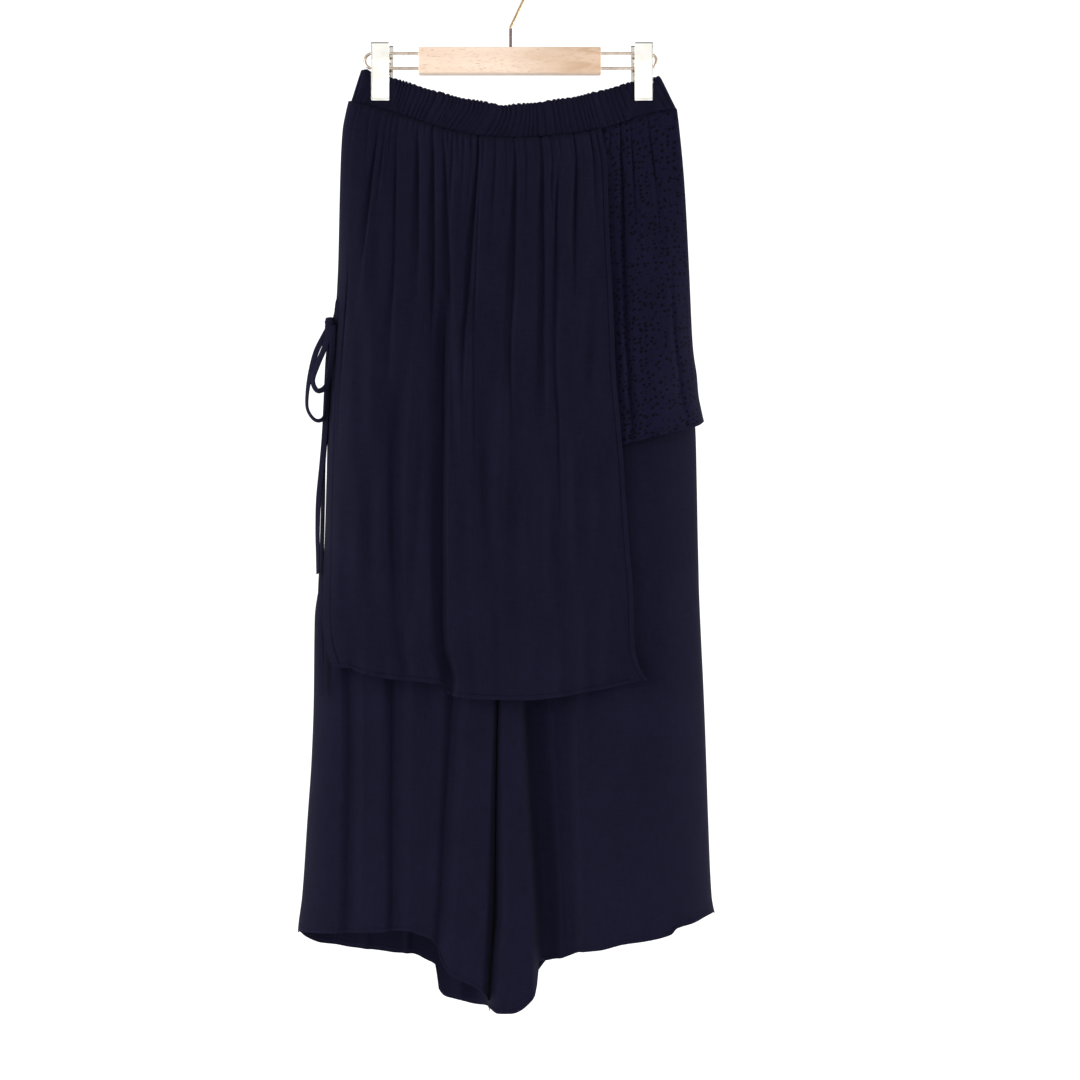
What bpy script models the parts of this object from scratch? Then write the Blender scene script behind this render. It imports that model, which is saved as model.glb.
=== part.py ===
"""Culottes with a long front apron and a short dotted hip panel, clipped to a wood and brass hanger.

Every size below is in millimetres. The origin is the inner top of the hanger's hook, -Y is the
front, +X is the right-hand side of the garment as it is looked at, and +Z is up.
"""

import math
from typing import NamedTuple

import bmesh
import bpy
from mathutils import Vector

MM = 0.001

# Cloth and seams
WALL = 1.2
BAND_WALL = 1.6
SEAM_GAP = 0.4
PINCHED_FRONT = 0.95
SIDE_ROUNDING = 33.0
BLEND_BELOW_BAND = 260.0
LEAST_OUT = 0.3
SEAM_RELIEF = 0.45

# Each panel's usual width, to space its columns
LEG_WIDTH = 200.0
APRON_WIDTH = 285.0
DOTTED_FRONT_WIDTH = 130.0
DOTTED_BACK_WIDTH = 365.0

# Stacking of the layers: how far each one stands in front of the band's middle line at the waist,
# in front of the legs lower down, and outside their side seams
CULOTTE_LAYER = (0.8, 0.0, 0.0)
DOTTED_LAYER = (4.2, 4.2, 3.0)
APRON_LAYER = (7.2, 8.6, 5.5)

# Waistband
BAND_BOW_FRONT = 15.0
BAND_BOW_BACK = 15.0
BAND_GATHERS = 42
BAND_GATHER_DEPTH = 1.5
BAND_SCALLOP = 0.8
PINCHED_GATHERS = 0.15
PINCH_REACH = 8.0

# Legs: the seam between them runs from the band to the crotch, and each leg rounds in from there
SEAM_TOP_Z = -190.0
CROTCH_Z = -520.0
CROTCH_CURVE = 2.4
SEAM_SPLIT = (0.25, 0.85)
SEAM_SPLIT_OVER = 60.0
INNER_ROUNDING = (30.0, 62.0)
INNER_ROUNDING_FROM_Z = -600.0
INNER_ROUNDING_OVER = 450.0
FOLDS_FULL_AT = 20.0

# Hanger
WIRE = 3.2
FIT_GAP = 0.35
ROD_UPPER_Z = -99.0
ROD_LOWER_Z = -114.7
BAR_SIZE = (191.2, 15.0, 27.5)
BAR_CENTRE = (-0.8, 0.0, -107.25)
BAR_EDGE = 3.0
LOOP_CENTRE_X = 145.1
CLIP_LEFT_X = -136.6
CLIP_RIGHT_X = 139.7
CLIP_WIDTH = 19.0
CLIP_PLATE = 1.0
CLIP_BACK_SHIFT = 3.6
SPRING_RADIUS = 3.4
SPRING_BORE = 2.1
SPRING_LENGTH = 13.0
HOOK_RADIUS = 22.0
HOOK_CENTRE_Z = -20.4
HOOK_BEND_Z = -71.9
HOOK_FOOT = 1.1
HOOK_LEAVES_AT = -25.3
HOOK_ENDS_AT = 206.0

# Tie
TAPE = 4.0
KNOT_SIZE = (8.6, 18.6, 11.4)
KNOT_CENTRE = (-188.9, -9.7, -383.6)
KNOT_EDGE = 1.6


class Section(NamedTuple):
    """The legs' outline at one height: side seams, the line between the legs, and half depths."""

    z: float
    left: float
    middle: float
    right: float
    front: float
    back: float


BODY = (
    Section(-150.0, -165.0, 3.0, 170.5, 15.0, 15.0),
    Section(-180.0, -171.0, 2.5, 174.0, 16.0, 16.0),
    Section(-212.0, -173.3, 2.0, 177.0, 17.2, 17.0),
    Section(-280.0, -175.2, 0.5, 182.0, 19.8, 19.4),
    Section(-348.0, -176.9, -2.0, 185.2, 22.2, 21.6),
    Section(-400.0, -179.0, -4.0, 187.7, 24.0, 23.2),
    Section(-463.0, -183.2, -7.0, 191.8, 26.2, 25.2),
    Section(-505.0, -185.3, -9.0, 194.3, 27.6, 26.4),
    Section(-547.0, -187.3, -10.5, 195.2, 29.0, 27.8),
    Section(-610.0, -189.5, -11.5, 196.4, 31.0, 29.6),
    Section(-640.0, -195.5, -12.0, 197.1, 31.9, 30.4),
    Section(-660.0, -201.0, -12.3, 197.5, 32.5, 31.0),
    Section(-693.0, -205.4, -12.7, 198.8, 33.4, 31.9),
    Section(-778.0, -206.4, -13.5, 202.8, 35.8, 34.0),
    Section(-837.0, -208.5, -14.5, 205.0, 37.4, 35.4),
    Section(-903.0, -213.0, -15.5, 207.2, 39.2, 37.0),
    Section(-983.0, -218.5, -16.5, 210.8, 41.2, 38.9),
    Section(-1020.0, -222.9, -17.0, 217.5, 42.2, 39.8),
    Section(-1110.0, -225.0, -18.0, 221.0, 44.0, 41.4),
)


class Edge(NamedTuple):
    """A free side edge: how far out it hangs at one height."""

    z: float
    x: float


APRON_LEFT = (
    Edge(-150.0, -170.2),
    Edge(-160.0, -172.6),
    Edge(-180.0, -176.2),
    Edge(-212.0, -178.1),
    Edge(-348.0, -181.7),
    Edge(-400.0, -183.8),
    Edge(-463.0, -188.0),
    Edge(-505.0, -190.1),
    Edge(-547.0, -192.2),
    Edge(-610.0, -193.8),
    Edge(-673.0, -194.3),
    Edge(-694.0, -194.0),
    Edge(-716.0, -191.7),
    Edge(-744.0, -182.2),
)
APRON_RIGHT = (
    Edge(-178.0, 94.5),
    Edge(-190.0, 96.5),
    Edge(-214.0, 100.5),
    Edge(-281.0, 102.7),
    Edge(-352.0, 106.1),
    Edge(-437.0, 109.2),
    Edge(-479.0, 112.7),
    Edge(-526.0, 116.8),
    Edge(-610.0, 122.6),
    Edge(-672.0, 127.3),
    Edge(-719.0, 128.6),
    Edge(-738.0, 133.0),
    Edge(-754.0, 140.8),
)
DOTTED_RIGHT = (
    Edge(-150.0, 173.5),
    Edge(-176.0, 176.8),
    Edge(-238.0, 182.5),
    Edge(-327.0, 187.3),
    Edge(-397.0, 190.5),
    Edge(-415.0, 192.0),
    Edge(-437.0, 195.3),
    Edge(-458.0, 197.1),
    Edge(-474.0, 200.2),
    Edge(-487.0, 203.2),
)
DOTTED_HIDDEN_EDGE = 62.0


class Hem(NamedTuple):
    """A hem or a seam line: its height at one place across the garment."""

    x: float
    z: float


BAND_TOP = (
    Hem(-156.6, -115.7),
    Hem(-126.0, -124.7),
    Hem(-52.5, -148.4),
    Hem(-7.7, -157.1),
    Hem(33.0, -154.0),
    Hem(72.6, -146.0),
    Hem(125.8, -130.4),
    Hem(157.8, -123.3),
)
BAND_BOTTOM = (
    Hem(-167.0, -149.8),
    Hem(-140.2, -157.4),
    Hem(-99.3, -169.4),
    Hem(-69.9, -180.2),
    Hem(-34.0, -188.5),
    Hem(-0.5, -190.9),
    Hem(33.0, -189.8),
    Hem(71.3, -185.0),
    Hem(99.9, -177.8),
    Hem(131.5, -167.7),
    Hem(163.0, -159.3),
    Hem(173.9, -158.0),
)
HEM_LEFT_FRONT = (
    Hem(-222.5, -1019.0),
    Hem(-213.0, -1018.0),
    Hem(-179.0, -1016.3),
    Hem(-124.2, -1014.3),
    Hem(-108.7, -1013.2),
    Hem(-93.2, -1017.4),
    Hem(-82.3, -1021.5),
    Hem(-75.5, -1029.3),
    Hem(-71.5, -1043.2),
    Hem(-62.2, -1057.7),
    Hem(-46.1, -1066.5),
    Hem(-33.7, -1072.7),
    Hem(-27.0, -1078.4),
    Hem(-18.0, -1102.0),
)
HEM_LEFT_BACK = (
    Hem(-222.5, -1022.0),
    Hem(-218.6, -1029.2),
    Hem(-206.4, -1037.3),
    Hem(-186.0, -1040.0),
    Hem(-151.0, -1043.5),
    Hem(-123.0, -1049.4),
    Hem(-100.5, -1053.7),
    Hem(-88.3, -1058.4),
    Hem(-80.5, -1066.0),
    Hem(-77.5, -1088.0),
    Hem(-70.7, -1097.3),
    Hem(-54.2, -1101.3),
    Hem(-34.6, -1106.8),
    Hem(-18.0, -1104.0),
)
HEM_RIGHT_FRONT = (
    Hem(-17.0, -1095.0),
    Hem(-10.0, -1098.3),
    Hem(4.0, -1097.4),
    Hem(11.3, -1094.0),
    Hem(20.5, -1084.3),
    Hem(28.0, -1070.0),
    Hem(31.5, -1053.0),
    Hem(38.0, -1046.0),
    Hem(60.9, -1041.2),
    Hem(72.2, -1035.5),
    Hem(93.9, -1032.9),
    Hem(115.6, -1027.7),
    Hem(141.0, -1023.6),
    Hem(166.3, -1017.4),
    Hem(172.5, -1011.2),
    Hem(189.6, -1006.7),
    Hem(206.6, -1000.5),
    Hem(215.5, -999.0),
)
HEM_RIGHT_BACK = (
    Hem(-17.0, -1093.0),
    Hem(20.0, -1080.0),
    Hem(40.0, -1056.0),
    Hem(90.0, -1037.0),
    Hem(150.0, -1024.0),
    Hem(190.0, -1010.0),
    Hem(215.5, -1001.0),
)
HEM_APRON = (
    Hem(-182.2, -741.2),
    Hem(-163.4, -742.0),
    Hem(-157.8, -745.3),
    Hem(-126.7, -752.6),
    Hem(-80.6, -757.3),
    Hem(-68.0, -759.5),
    Hem(-63.0, -769.6),
    Hem(-30.9, -773.8),
    Hem(15.4, -774.8),
    Hem(51.5, -771.7),
    Hem(81.0, -766.4),
    Hem(110.6, -761.0),
    Hem(140.8, -753.3),
)
HEM_DOTTED_FRONT = (
    Hem(60.0, -522.0),
    Hem(116.3, -511.4),
    Hem(134.8, -506.7),
    Hem(158.4, -500.8),
    Hem(185.8, -494.2),
    Hem(196.5, -490.5),
    Hem(203.2, -485.5),
)
HEM_DOTTED_BACK = (
    Hem(-190.0, -500.0),
    Hem(-120.0, -512.0),
    Hem(0.0, -526.0),
    Hem(120.0, -508.0),
    Hem(190.0, -491.0),
    Hem(203.2, -485.5),
)


class Fold(NamedTuple):
    """A trough in a panel: its place across it (0 to 1), half width, depth, and where it runs."""

    across: float
    width: float
    depth: float
    starts: float
    ends: float


APRON_FOLDS = (
    Fold(0.138, 5.0, 3.0, -120.0, -270.0),
    Fold(0.205, 4.5, 2.2, -120.0, -230.0),
    Fold(0.289, 5.0, 3.0, -120.0, -255.0),
    Fold(0.365, 6.0, 5.0, -120.0, -365.0),
    Fold(0.407, 4.5, 4.0, -120.0, -250.0),
    Fold(0.525, 6.0, 5.0, -120.0, -420.0),
    Fold(0.590, 4.5, 2.2, -120.0, -240.0),
    Fold(0.662, 6.0, 5.0, -120.0, -510.0),
    Fold(0.772, 6.0, 5.0, -120.0, -470.0),
    Fold(0.826, 6.0, 4.0, -120.0, -540.0),
    Fold(0.899, 4.5, 2.5, -120.0, -330.0),
    Fold(0.240, 10.0, 3.5, -420.0, -745.0),
    Fold(0.422, 8.5, 5.0, -330.0, -830.0),
)
APRON_RELIEF = 5.0
APRON_DRIFT = (0.042, 0.028)
DOTTED_FRONT_FOLDS = (
    Fold(0.450, 5.0, 3.0, -120.0, -560.0),
    Fold(0.540, 4.0, 1.8, -120.0, -230.0),
    Fold(0.745, 4.5, 2.2, -120.0, -270.0),
    Fold(0.850, 7.0, 1.6, -330.0, -520.0),
)
DOTTED_RELIEF = 3.0
DOTTED_BACK_FOLDS = (
    Fold(0.10, 6.0, 2.4, -120.0, -330.0),
    Fold(0.20, 6.0, 2.8, -120.0, -560.0),
    Fold(0.31, 6.0, 2.2, -120.0, -300.0),
    Fold(0.42, 7.0, 3.0, -120.0, -560.0),
    Fold(0.55, 6.0, 2.6, -120.0, -380.0),
    Fold(0.66, 7.0, 3.0, -120.0, -560.0),
    Fold(0.78, 6.0, 2.2, -120.0, -300.0),
    Fold(0.89, 6.0, 2.6, -120.0, -480.0),
)
LEFT_FRONT_FOLDS = (
    Fold(0.200, 10.0, 6.0, -600.0, -1150.0),
    Fold(0.440, 11.0, 8.0, -600.0, -1150.0),
    Fold(0.750, 14.0, 12.0, -600.0, -1150.0),
)
RIGHT_FRONT_FOLDS = (
    Fold(0.173, 9.5, 30.0, -560.0, -1300.0),
    Fold(0.255, 14.0, 19.0, -560.0, -1300.0),
    Fold(0.420, 12.0, 3.0, -650.0, -960.0),
)
LEFT_BACK_FOLDS = (
    Fold(0.250, 12.0, 8.0, -500.0, -1150.0),
    Fold(0.560, 12.0, 10.0, -450.0, -1150.0),
    Fold(0.800, 11.0, 8.0, -600.0, -1150.0),
)
RIGHT_BACK_FOLDS = (
    Fold(0.220, 12.0, 9.0, -600.0, -1150.0),
    Fold(0.520, 13.0, 10.0, -450.0, -1150.0),
    Fold(0.780, 12.0, 7.0, -500.0, -1150.0),
)
FOLD_FADE = 90.0
FOLD_MARKS = (-1.0, -0.42, 0.42, 1.0)

# The strip of the right leg that stands forward between its deep fold and the inner seam
STRIP_ACROSS = 0.135
STRIP_ROUNDING = 9.0
STRIP_WARP = 0.042
STRIP_WARP_AT = 0.19
STRIP_WARP_FROM_Z = -740.0
STRIP_WARP_OVER = 260.0
STRIP_LEAN = 9.0
STRIP_LEAN_FROM_Z = -1000.0
STRIP_LEAN_OVER = 50.0
STRIP_OUT = 38.0


class RoutePoint(NamedTuple):
    """A place on a tape's route."""

    x: float
    y: float
    z: float


LOOP_OUTER = (
    RoutePoint(-191.0, -12.0, -389.9),
    RoutePoint(-194.5, -12.0, -396.5),
    RoutePoint(-203.0, -12.0, -413.5),
    RoutePoint(-208.8, -12.0, -435.0),
    RoutePoint(-212.4, -12.0, -456.0),
    RoutePoint(-212.2, -12.0, -473.5),
    RoutePoint(-204.0, -12.0, -485.0),
    RoutePoint(-194.6, -12.0, -482.5),
    RoutePoint(-191.7, -12.0, -466.0),
    RoutePoint(-189.9, -12.0, -436.0),
    RoutePoint(-187.6, -12.0, -405.0),
    RoutePoint(-186.6, -12.0, -389.9),
)
LOOP_INNER = (
    RoutePoint(-189.6, -16.7, -389.9),
    RoutePoint(-190.0, -16.7, -397.0),
    RoutePoint(-193.5, -16.7, -409.0),
    RoutePoint(-201.5, -16.7, -428.0),
    RoutePoint(-206.2, -16.7, -444.0),
    RoutePoint(-201.2, -16.7, -454.5),
    RoutePoint(-192.6, -16.7, -450.5),
    RoutePoint(-188.7, -16.7, -438.0),
    RoutePoint(-185.8, -16.7, -412.0),
    RoutePoint(-185.1, -16.7, -389.9),
)
TAIL_SHORT = (
    RoutePoint(-187.4, -7.4, -389.9),
    RoutePoint(-188.6, -7.4, -403.0),
    RoutePoint(-190.6, -7.4, -422.0),
    RoutePoint(-191.9, -7.4, -445.0),
    RoutePoint(-193.0, -7.4, -470.0),
    RoutePoint(-194.6, -7.4, -500.0),
    RoutePoint(-197.2, -7.4, -530.0),
    RoutePoint(-201.0, -7.6, -567.0),
    RoutePoint(-201.7, -11.5, -600.0),
    RoutePoint(-200.9, -17.8, -625.0),
    RoutePoint(-200.3, -23.2, -645.0),
)
TAIL_LONG = (
    RoutePoint(-187.4, -2.9, -389.9),
    RoutePoint(-188.8, -2.9, -403.0),
    RoutePoint(-191.2, -2.9, -422.0),
    RoutePoint(-192.8, -2.9, -460.0),
    RoutePoint(-194.6, -2.9, -500.0),
    RoutePoint(-196.8, -2.9, -530.0),
    RoutePoint(-196.9, -3.0, -567.0),
    RoutePoint(-197.3, -6.0, -600.0),
    RoutePoint(-197.5, -14.5, -638.0),
    RoutePoint(-197.0, -26.5, -660.0),
    RoutePoint(-196.6, -32.0, -688.0),
    RoutePoint(-196.1, -33.6, -722.0),
    RoutePoint(-195.8, -34.5, -771.0),
)
TIE_BASE = (
    RoutePoint(-185.9, -10.4, -361.5),
    RoutePoint(-187.0, -10.2, -367.0),
    RoutePoint(-187.3, -10.0, -372.0),
    RoutePoint(-187.5, -9.8, -377.4),
)


class PlatePoint(NamedTuple):
    """The side profile of a clip plate: distance from the hanger's middle plane, and height."""

    out: float
    z: float


CLIP_PROFILE = (
    PlatePoint(8.8, -89.3),
    PlatePoint(7.6, -96.0),
    PlatePoint(5.6, -107.0),
    PlatePoint(4.9, -115.0),
    PlatePoint(4.2, -122.0),
    PlatePoint(3.5, -130.0),
    PlatePoint(3.5, -144.0),
    PlatePoint(4.6, -149.3),
)


# Functions of the garment's own sizes


def smoothstep(value):
    """A soft step from 0 to 1."""
    value = min(max(value, 0.0), 1.0)
    return value * value * (3.0 - 2.0 * value)


def along(keys, values, where):
    """A smooth curve through a table that never overshoots between its rows."""
    if where <= keys[0]:
        return values[0]
    if where >= keys[-1]:
        return values[-1]
    steps = [(values[i + 1] - values[i]) / (keys[i + 1] - keys[i]) for i in range(len(keys) - 1)]
    slopes = [steps[0]]
    for before, after in zip(steps, steps[1:]):
        slopes.append(0.0 if before * after <= 0.0 else 2.0 * before * after / (before + after))
    slopes.append(steps[-1])
    i = max(k for k in range(len(keys) - 1) if keys[k] <= where)
    span = keys[i + 1] - keys[i]
    t = (where - keys[i]) / span
    return (
        values[i] * (1.0 + 2.0 * t) * (1.0 - t) ** 2
        + slopes[i] * span * t * (1.0 - t) ** 2
        + values[i + 1] * t * t * (3.0 - 2.0 * t)
        - slopes[i + 1] * span * t * t * (1.0 - t)
    )


def body(column, z):
    """One column of the legs' sections at a height."""
    return along([-row.z for row in BODY], [getattr(row, column) for row in BODY], -z)


def edge_x(table, z):
    """How far out a free edge hangs at a height."""
    return along([-row.z for row in table], [row.x for row in table], -z)


def hem_z(table, x):
    """The height of a hem or seam line at a place across the garment."""
    return along([row.x for row in table], [row.z for row in table], x)


def quarter_round(distance, radius):
    """How far a rounded side has come forward, 0 to 1, at a distance from its edge."""
    share = 1.0 - min(max(distance / radius, 0.0), 1.0)
    return math.sqrt(1.0 - share * share)


def bow(x, depth):
    """How far the band bows out between the two clips."""
    inner_left = CLIP_LEFT_X + 0.6 * CLIP_WIDTH
    inner_right = CLIP_RIGHT_X - 0.6 * CLIP_WIDTH
    t = (x - inner_left) / (inner_right - inner_left)
    if t <= 0.0 or t >= 1.0:
        return 0.0
    return depth * smoothstep(1.0 - abs(2.0 * t - 1.0) ** 1.6)


def skin(x, z, side, layer, relief=0.0, inner=None):
    """How far out a layer lies from the middle plane: flat at the clips, round at hip and leg.

    layer is its place in the stack, relief what its folds may take away, and inner the factor that
    rounds a leg towards its inseam.
    """
    top_out, lower_out, side_out = layer
    bow_depth = BAND_BOW_FRONT if side == "front" else BAND_BOW_BACK
    lowered = smoothstep((hem_z(BAND_BOTTOM, x) - z) / BLEND_BELOW_BAND)
    edge = min(x - body("left", z), body("right", z) - x) + side_out
    rounding = quarter_round(edge, SIDE_ROUNDING + side_out)
    round_part = (body(side, z) + lower_out + relief) * rounding
    if inner is not None:
        round_part *= inner
    flat_part = bow(x, bow_depth) + top_out + SEAM_RELIEF * relief
    return max((1.0 - lowered) * flat_part + lowered * round_part, LEAST_OUT)


def fold_strength(fold, z):
    """How much of a fold's depth is left at a height."""
    return smoothstep((fold.starts - z) / FOLD_FADE) * smoothstep((z - fold.ends) / FOLD_FADE)


def trough(folds, across, width, z):
    """The deepest of the folds at a place on a panel that is so wide."""
    deepest = 0.0
    for fold in folds:
        offset = abs(across - fold.across) * width / fold.width
        if offset < 1.0:
            deepest = max(deepest, fold.depth * (1.0 - offset**3) ** 2 * fold_strength(fold, z))
    return deepest


def fold_share(down, fully_down):
    """How much of a fold's depth shows near the band, where the gathers hold it."""
    return SEAM_RELIEF + (1.0 - SEAM_RELIEF) * smoothstep(down / fully_down)


def marks(folds, width, step, edges=(0.0, 1.0)):
    """Where a panel's columns of points go: at its edges, across each fold, and evenly between."""
    places = set(edges) | {0.0, 1.0}
    for fold in folds:
        for mark in FOLD_MARKS:
            place = fold.across + mark * fold.width / width
            if 0.02 < place < 0.98:
                places.add(place)
    kept = []
    for place in sorted(places):
        if kept and place - kept[-1] < 0.35 * step and place < 1.0 and kept[-1] not in edges:
            kept[-1] = 0.5 * (kept[-1] + place)
        elif not kept or place - kept[-1] > 0.002:
            kept.append(place)
    filled = [kept[0]]
    for place in kept[1:]:
        parts = max(1, math.ceil((place - filled[-1]) / step - 0.2))
        start = filled[-1]
        filled += [start + (place - start) * (k + 1) / parts for k in range(parts)]
    return filled


# Building tools


def clear_scene():
    """Start from an empty scene."""
    for thing in list(bpy.data.objects):
        bpy.data.objects.remove(thing, do_unlink=True)


def material(name, colour, roughness, metallic=0.0):
    """A plain Principled material."""
    made = bpy.data.materials.new(name)
    made.use_nodes = True
    shader = made.node_tree.nodes["Principled BSDF"]
    shader.inputs["Base Color"].default_value = (*colour, 1.0)
    shader.inputs["Roughness"].default_value = roughness
    shader.inputs["Metallic"].default_value = metallic
    return made


def keep(thing, collection, look):
    """Put a new object in the collection, with its material."""
    for holder in list(thing.users_collection):
        holder.objects.unlink(thing)
    collection.objects.link(thing)
    thing.data.materials.clear()
    thing.data.materials.append(look)
    return thing


def sheet(name, collection, look, columns, rows, place, wall):
    """A wall of cloth or metal: a grid bent by place(across, down), then made solid."""
    mesh = bpy.data.meshes.new(name)
    grid = bmesh.new()
    bmesh.ops.create_grid(
        grid, x_segments=len(columns) - 1, y_segments=len(rows) - 1, size=0.5
    )
    for vertex in grid.verts:
        i = round((vertex.co.x + 0.5) * (len(columns) - 1))
        j = round((0.5 - vertex.co.y) * (len(rows) - 1))
        vertex.co = place(columns[i], rows[j]) * MM
    grid.to_mesh(mesh)
    grid.free()
    mesh.shade_smooth()
    thing = bpy.data.objects.new(name, mesh)
    keep(thing, collection, look)
    solid = thing.modifiers.new("Wall", "SOLIDIFY")
    solid.thickness = wall * MM
    solid.offset = 0.0
    return thing


def tube(name, collection, look, points, diameter):
    """A round wire or cord along points."""
    data = bpy.data.curves.new(name, "CURVE")
    data.dimensions = "3D"
    data.bevel_depth = 0.5 * diameter * MM
    data.bevel_resolution = 2
    data.use_fill_caps = True
    spline = data.splines.new("POLY")
    spline.points.add(len(points) - 1)
    for point, target in zip(points, spline.points):
        target.co = (*(Vector(point) * MM), 1.0)
    thing = bpy.data.objects.new(name, data)
    return keep(thing, collection, look)


def route(stations, spacing):
    """Points at an even spacing along a smooth curve through the stations."""
    points = [Vector(station) for station in stations]
    ends = [2 * points[0] - points[1]] + points + [2 * points[-1] - points[-2]]
    fine = []
    for a, b, c, d in zip(ends, ends[1:], ends[2:], ends[3:]):
        for k in range(12):
            t = k / 12.0
            fine.append(
                0.5
                * (
                    2 * b
                    + (c - a) * t
                    + (2 * a - 5 * b + 4 * c - d) * t * t
                    + (3 * b - a - 3 * c + d) * t**3
                )
            )
    fine.append(points[-1])
    lengths = [0.0]
    for before, after in zip(fine, fine[1:]):
        lengths.append(lengths[-1] + (after - before).length)
    count = max(2, round(lengths[-1] / spacing))
    even = []
    k = 0
    for step in range(count + 1):
        wanted = lengths[-1] * step / count
        while k < len(fine) - 2 and lengths[k + 1] < wanted:
            k += 1
        share = (wanted - lengths[k]) / (lengths[k + 1] - lengths[k])
        even.append(fine[k].lerp(fine[k + 1], min(share, 1.0)))
    return even


# Waistband


def band_place(side):
    """A point of the gathered band: across from the left corner to the right, down its height."""
    sign = -1.0 if side == "front" else 1.0
    bow_depth = BAND_BOW_FRONT if side == "front" else BAND_BOW_BACK

    def place(across, down):
        top_x = BAND_TOP[0].x + (BAND_TOP[-1].x - BAND_TOP[0].x) * across
        low_x = BAND_BOTTOM[0].x + (BAND_BOTTOM[-1].x - BAND_BOTTOM[0].x) * across
        wave = 0.5 - 0.5 * math.cos(2.0 * math.pi * BAND_GATHERS * across)
        top_z = hem_z(BAND_TOP, top_x) + BAND_SCALLOP * (wave - 0.5)
        low_z = hem_z(BAND_BOTTOM, low_x)
        x = top_x + (low_x - top_x) * down
        z = top_z + (low_z - top_z) * down
        from_clip = min(abs(x - CLIP_LEFT_X), abs(x - CLIP_RIGHT_X)) - 0.55 * CLIP_WIDTH
        loose = PINCHED_GATHERS + (1.0 - PINCHED_GATHERS) * smoothstep(from_clip / PINCH_REACH)
        out = PINCHED_FRONT + bow(x, bow_depth) + BAND_GATHER_DEPTH * wave * loose
        return Vector((x, sign * out, z))

    return place


def waistband(collection, look):
    """The elastic band's front and back, finely gathered."""
    columns = [k / (4 * BAND_GATHERS) for k in range(4 * BAND_GATHERS + 1)]
    for side in ("front", "back"):
        sheet(f"waistband_{side}", collection, look, columns, [0.0, 1.0], band_place(side), BAND_WALL)


# Panels


def hang(down, x_at, hem, gap=SEAM_GAP):
    """The point at a share of the way from the band's seam to the hem: its x and z."""
    z_top = BAND_BOTTOM[0].z
    z_low = hem[0].z
    for _ in range(3):
        z_top = hem_z(BAND_BOTTOM, x_at(z_top)) - gap
        z_low = hem_z(hem, x_at(z_low))
    z = z_top + (z_low - z_top) * down
    return x_at(z), z


def leg_place(leg, side, folds, hem):
    """A point of a leg's front or back panel, across from its side seam to its inner seam."""
    sign = -1.0 if side == "front" else 1.0
    strip = leg == "right" and side == "front"

    def seamed(z):
        """1 where the inner edge lies out at the panel's full depth, 0 from the crotch down."""
        share = min(max((SEAM_TOP_Z - z) / (SEAM_TOP_Z - CROTCH_Z), 0.0), 1.0)
        return (1.0 - share**CROTCH_CURVE) ** (1.0 / CROTCH_CURVE)

    def x_at_inner(z):
        opened = smoothstep((SEAM_TOP_Z - z) / SEAM_SPLIT_OVER)
        gap = SEAM_SPLIT[0] + (SEAM_SPLIT[1] - SEAM_SPLIT[0]) * opened
        return body("middle", z) + (gap if leg == "right" else -gap)

    def place(across, down):
        def x_at(z):
            inner = x_at_inner(z)
            share = across
            if strip:
                near = min(abs(1.0 - across - STRIP_WARP_AT) / STRIP_WARP_AT, 1.0)
                lowness = smoothstep((STRIP_WARP_FROM_Z - z) / STRIP_WARP_OVER)
                share -= STRIP_WARP * lowness * (1.0 - near * near) ** 2
            return body(leg, z) + (inner - body(leg, z)) * share

        x, z = hang(down, x_at, hem)
        width = abs(body(leg, z) - body("middle", z))
        from_inner = abs(x - x_at_inner(z))
        lowness = smoothstep((INNER_ROUNDING_FROM_Z - z) / INNER_ROUNDING_OVER)
        radius = INNER_ROUNDING[0] + (INNER_ROUNDING[1] - INNER_ROUNDING[0]) * lowness
        if strip:
            radius = STRIP_ROUNDING
        seam = seamed(z)
        inner = seam + (1.0 - seam) * quarter_round(from_inner, radius)
        out = skin(x, z, side, CULOTTE_LAYER, 0.0, inner)
        place_across = 1.0 - across if leg == "right" else across
        folded = trough(folds, place_across, width, z) * min(out / FOLDS_FULL_AT, 1.0)
        out = max(out - folded, LEAST_OUT)
        if strip and 1.0 - across < STRIP_ACROSS:
            lean = STRIP_LEAN * smoothstep((STRIP_LEAN_FROM_Z - z) / STRIP_LEAN_OVER)
            x -= lean * (across - 1.0 + STRIP_ACROSS) / STRIP_ACROSS * min(out / STRIP_OUT, 1.0)
        return Vector((x, sign * out, z))

    return place


def legs(collection, look):
    """The culottes' four panels, from side seam to inner seam."""
    rows_front = [0.0, 0.06, 0.14, 0.24, 0.34, 0.41, 0.5, 0.6, 0.69, 0.78, 0.86, 0.93, 0.97, 1.0]
    rows_back = [0.0, 0.07, 0.17, 0.28, 0.38, 0.47, 0.58, 0.7, 0.82, 0.93, 1.0]
    edges = (0.0, 0.006, 0.03, 0.09, 0.9, 0.965, 0.99, 1.0)
    strip_edges = (0.0, 0.006, 0.03, 0.09, 0.955, 0.985, 0.997, 1.0)
    plans = (
        ("left", "front", LEFT_FRONT_FOLDS, HEM_LEFT_FRONT, edges, rows_front, 0.06),
        ("right", "front", RIGHT_FRONT_FOLDS, HEM_RIGHT_FRONT, strip_edges, rows_front, 0.065),
        ("left", "back", LEFT_BACK_FOLDS, HEM_LEFT_BACK, edges, rows_back, 0.09),
        ("right", "back", RIGHT_BACK_FOLDS, HEM_RIGHT_BACK, edges, rows_back, 0.09),
    )
    for leg, side, folds, hem, ends, rows, step in plans:
        placed = folds
        if leg == "right":
            placed = tuple(fold._replace(across=1.0 - fold.across) for fold in folds)
        columns = marks(placed, LEG_WIDTH, step, ends)
        place = leg_place(leg, side, folds, hem)
        sheet(f"leg_{side}_{leg}", collection, look, columns, rows, place, WALL)


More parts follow.
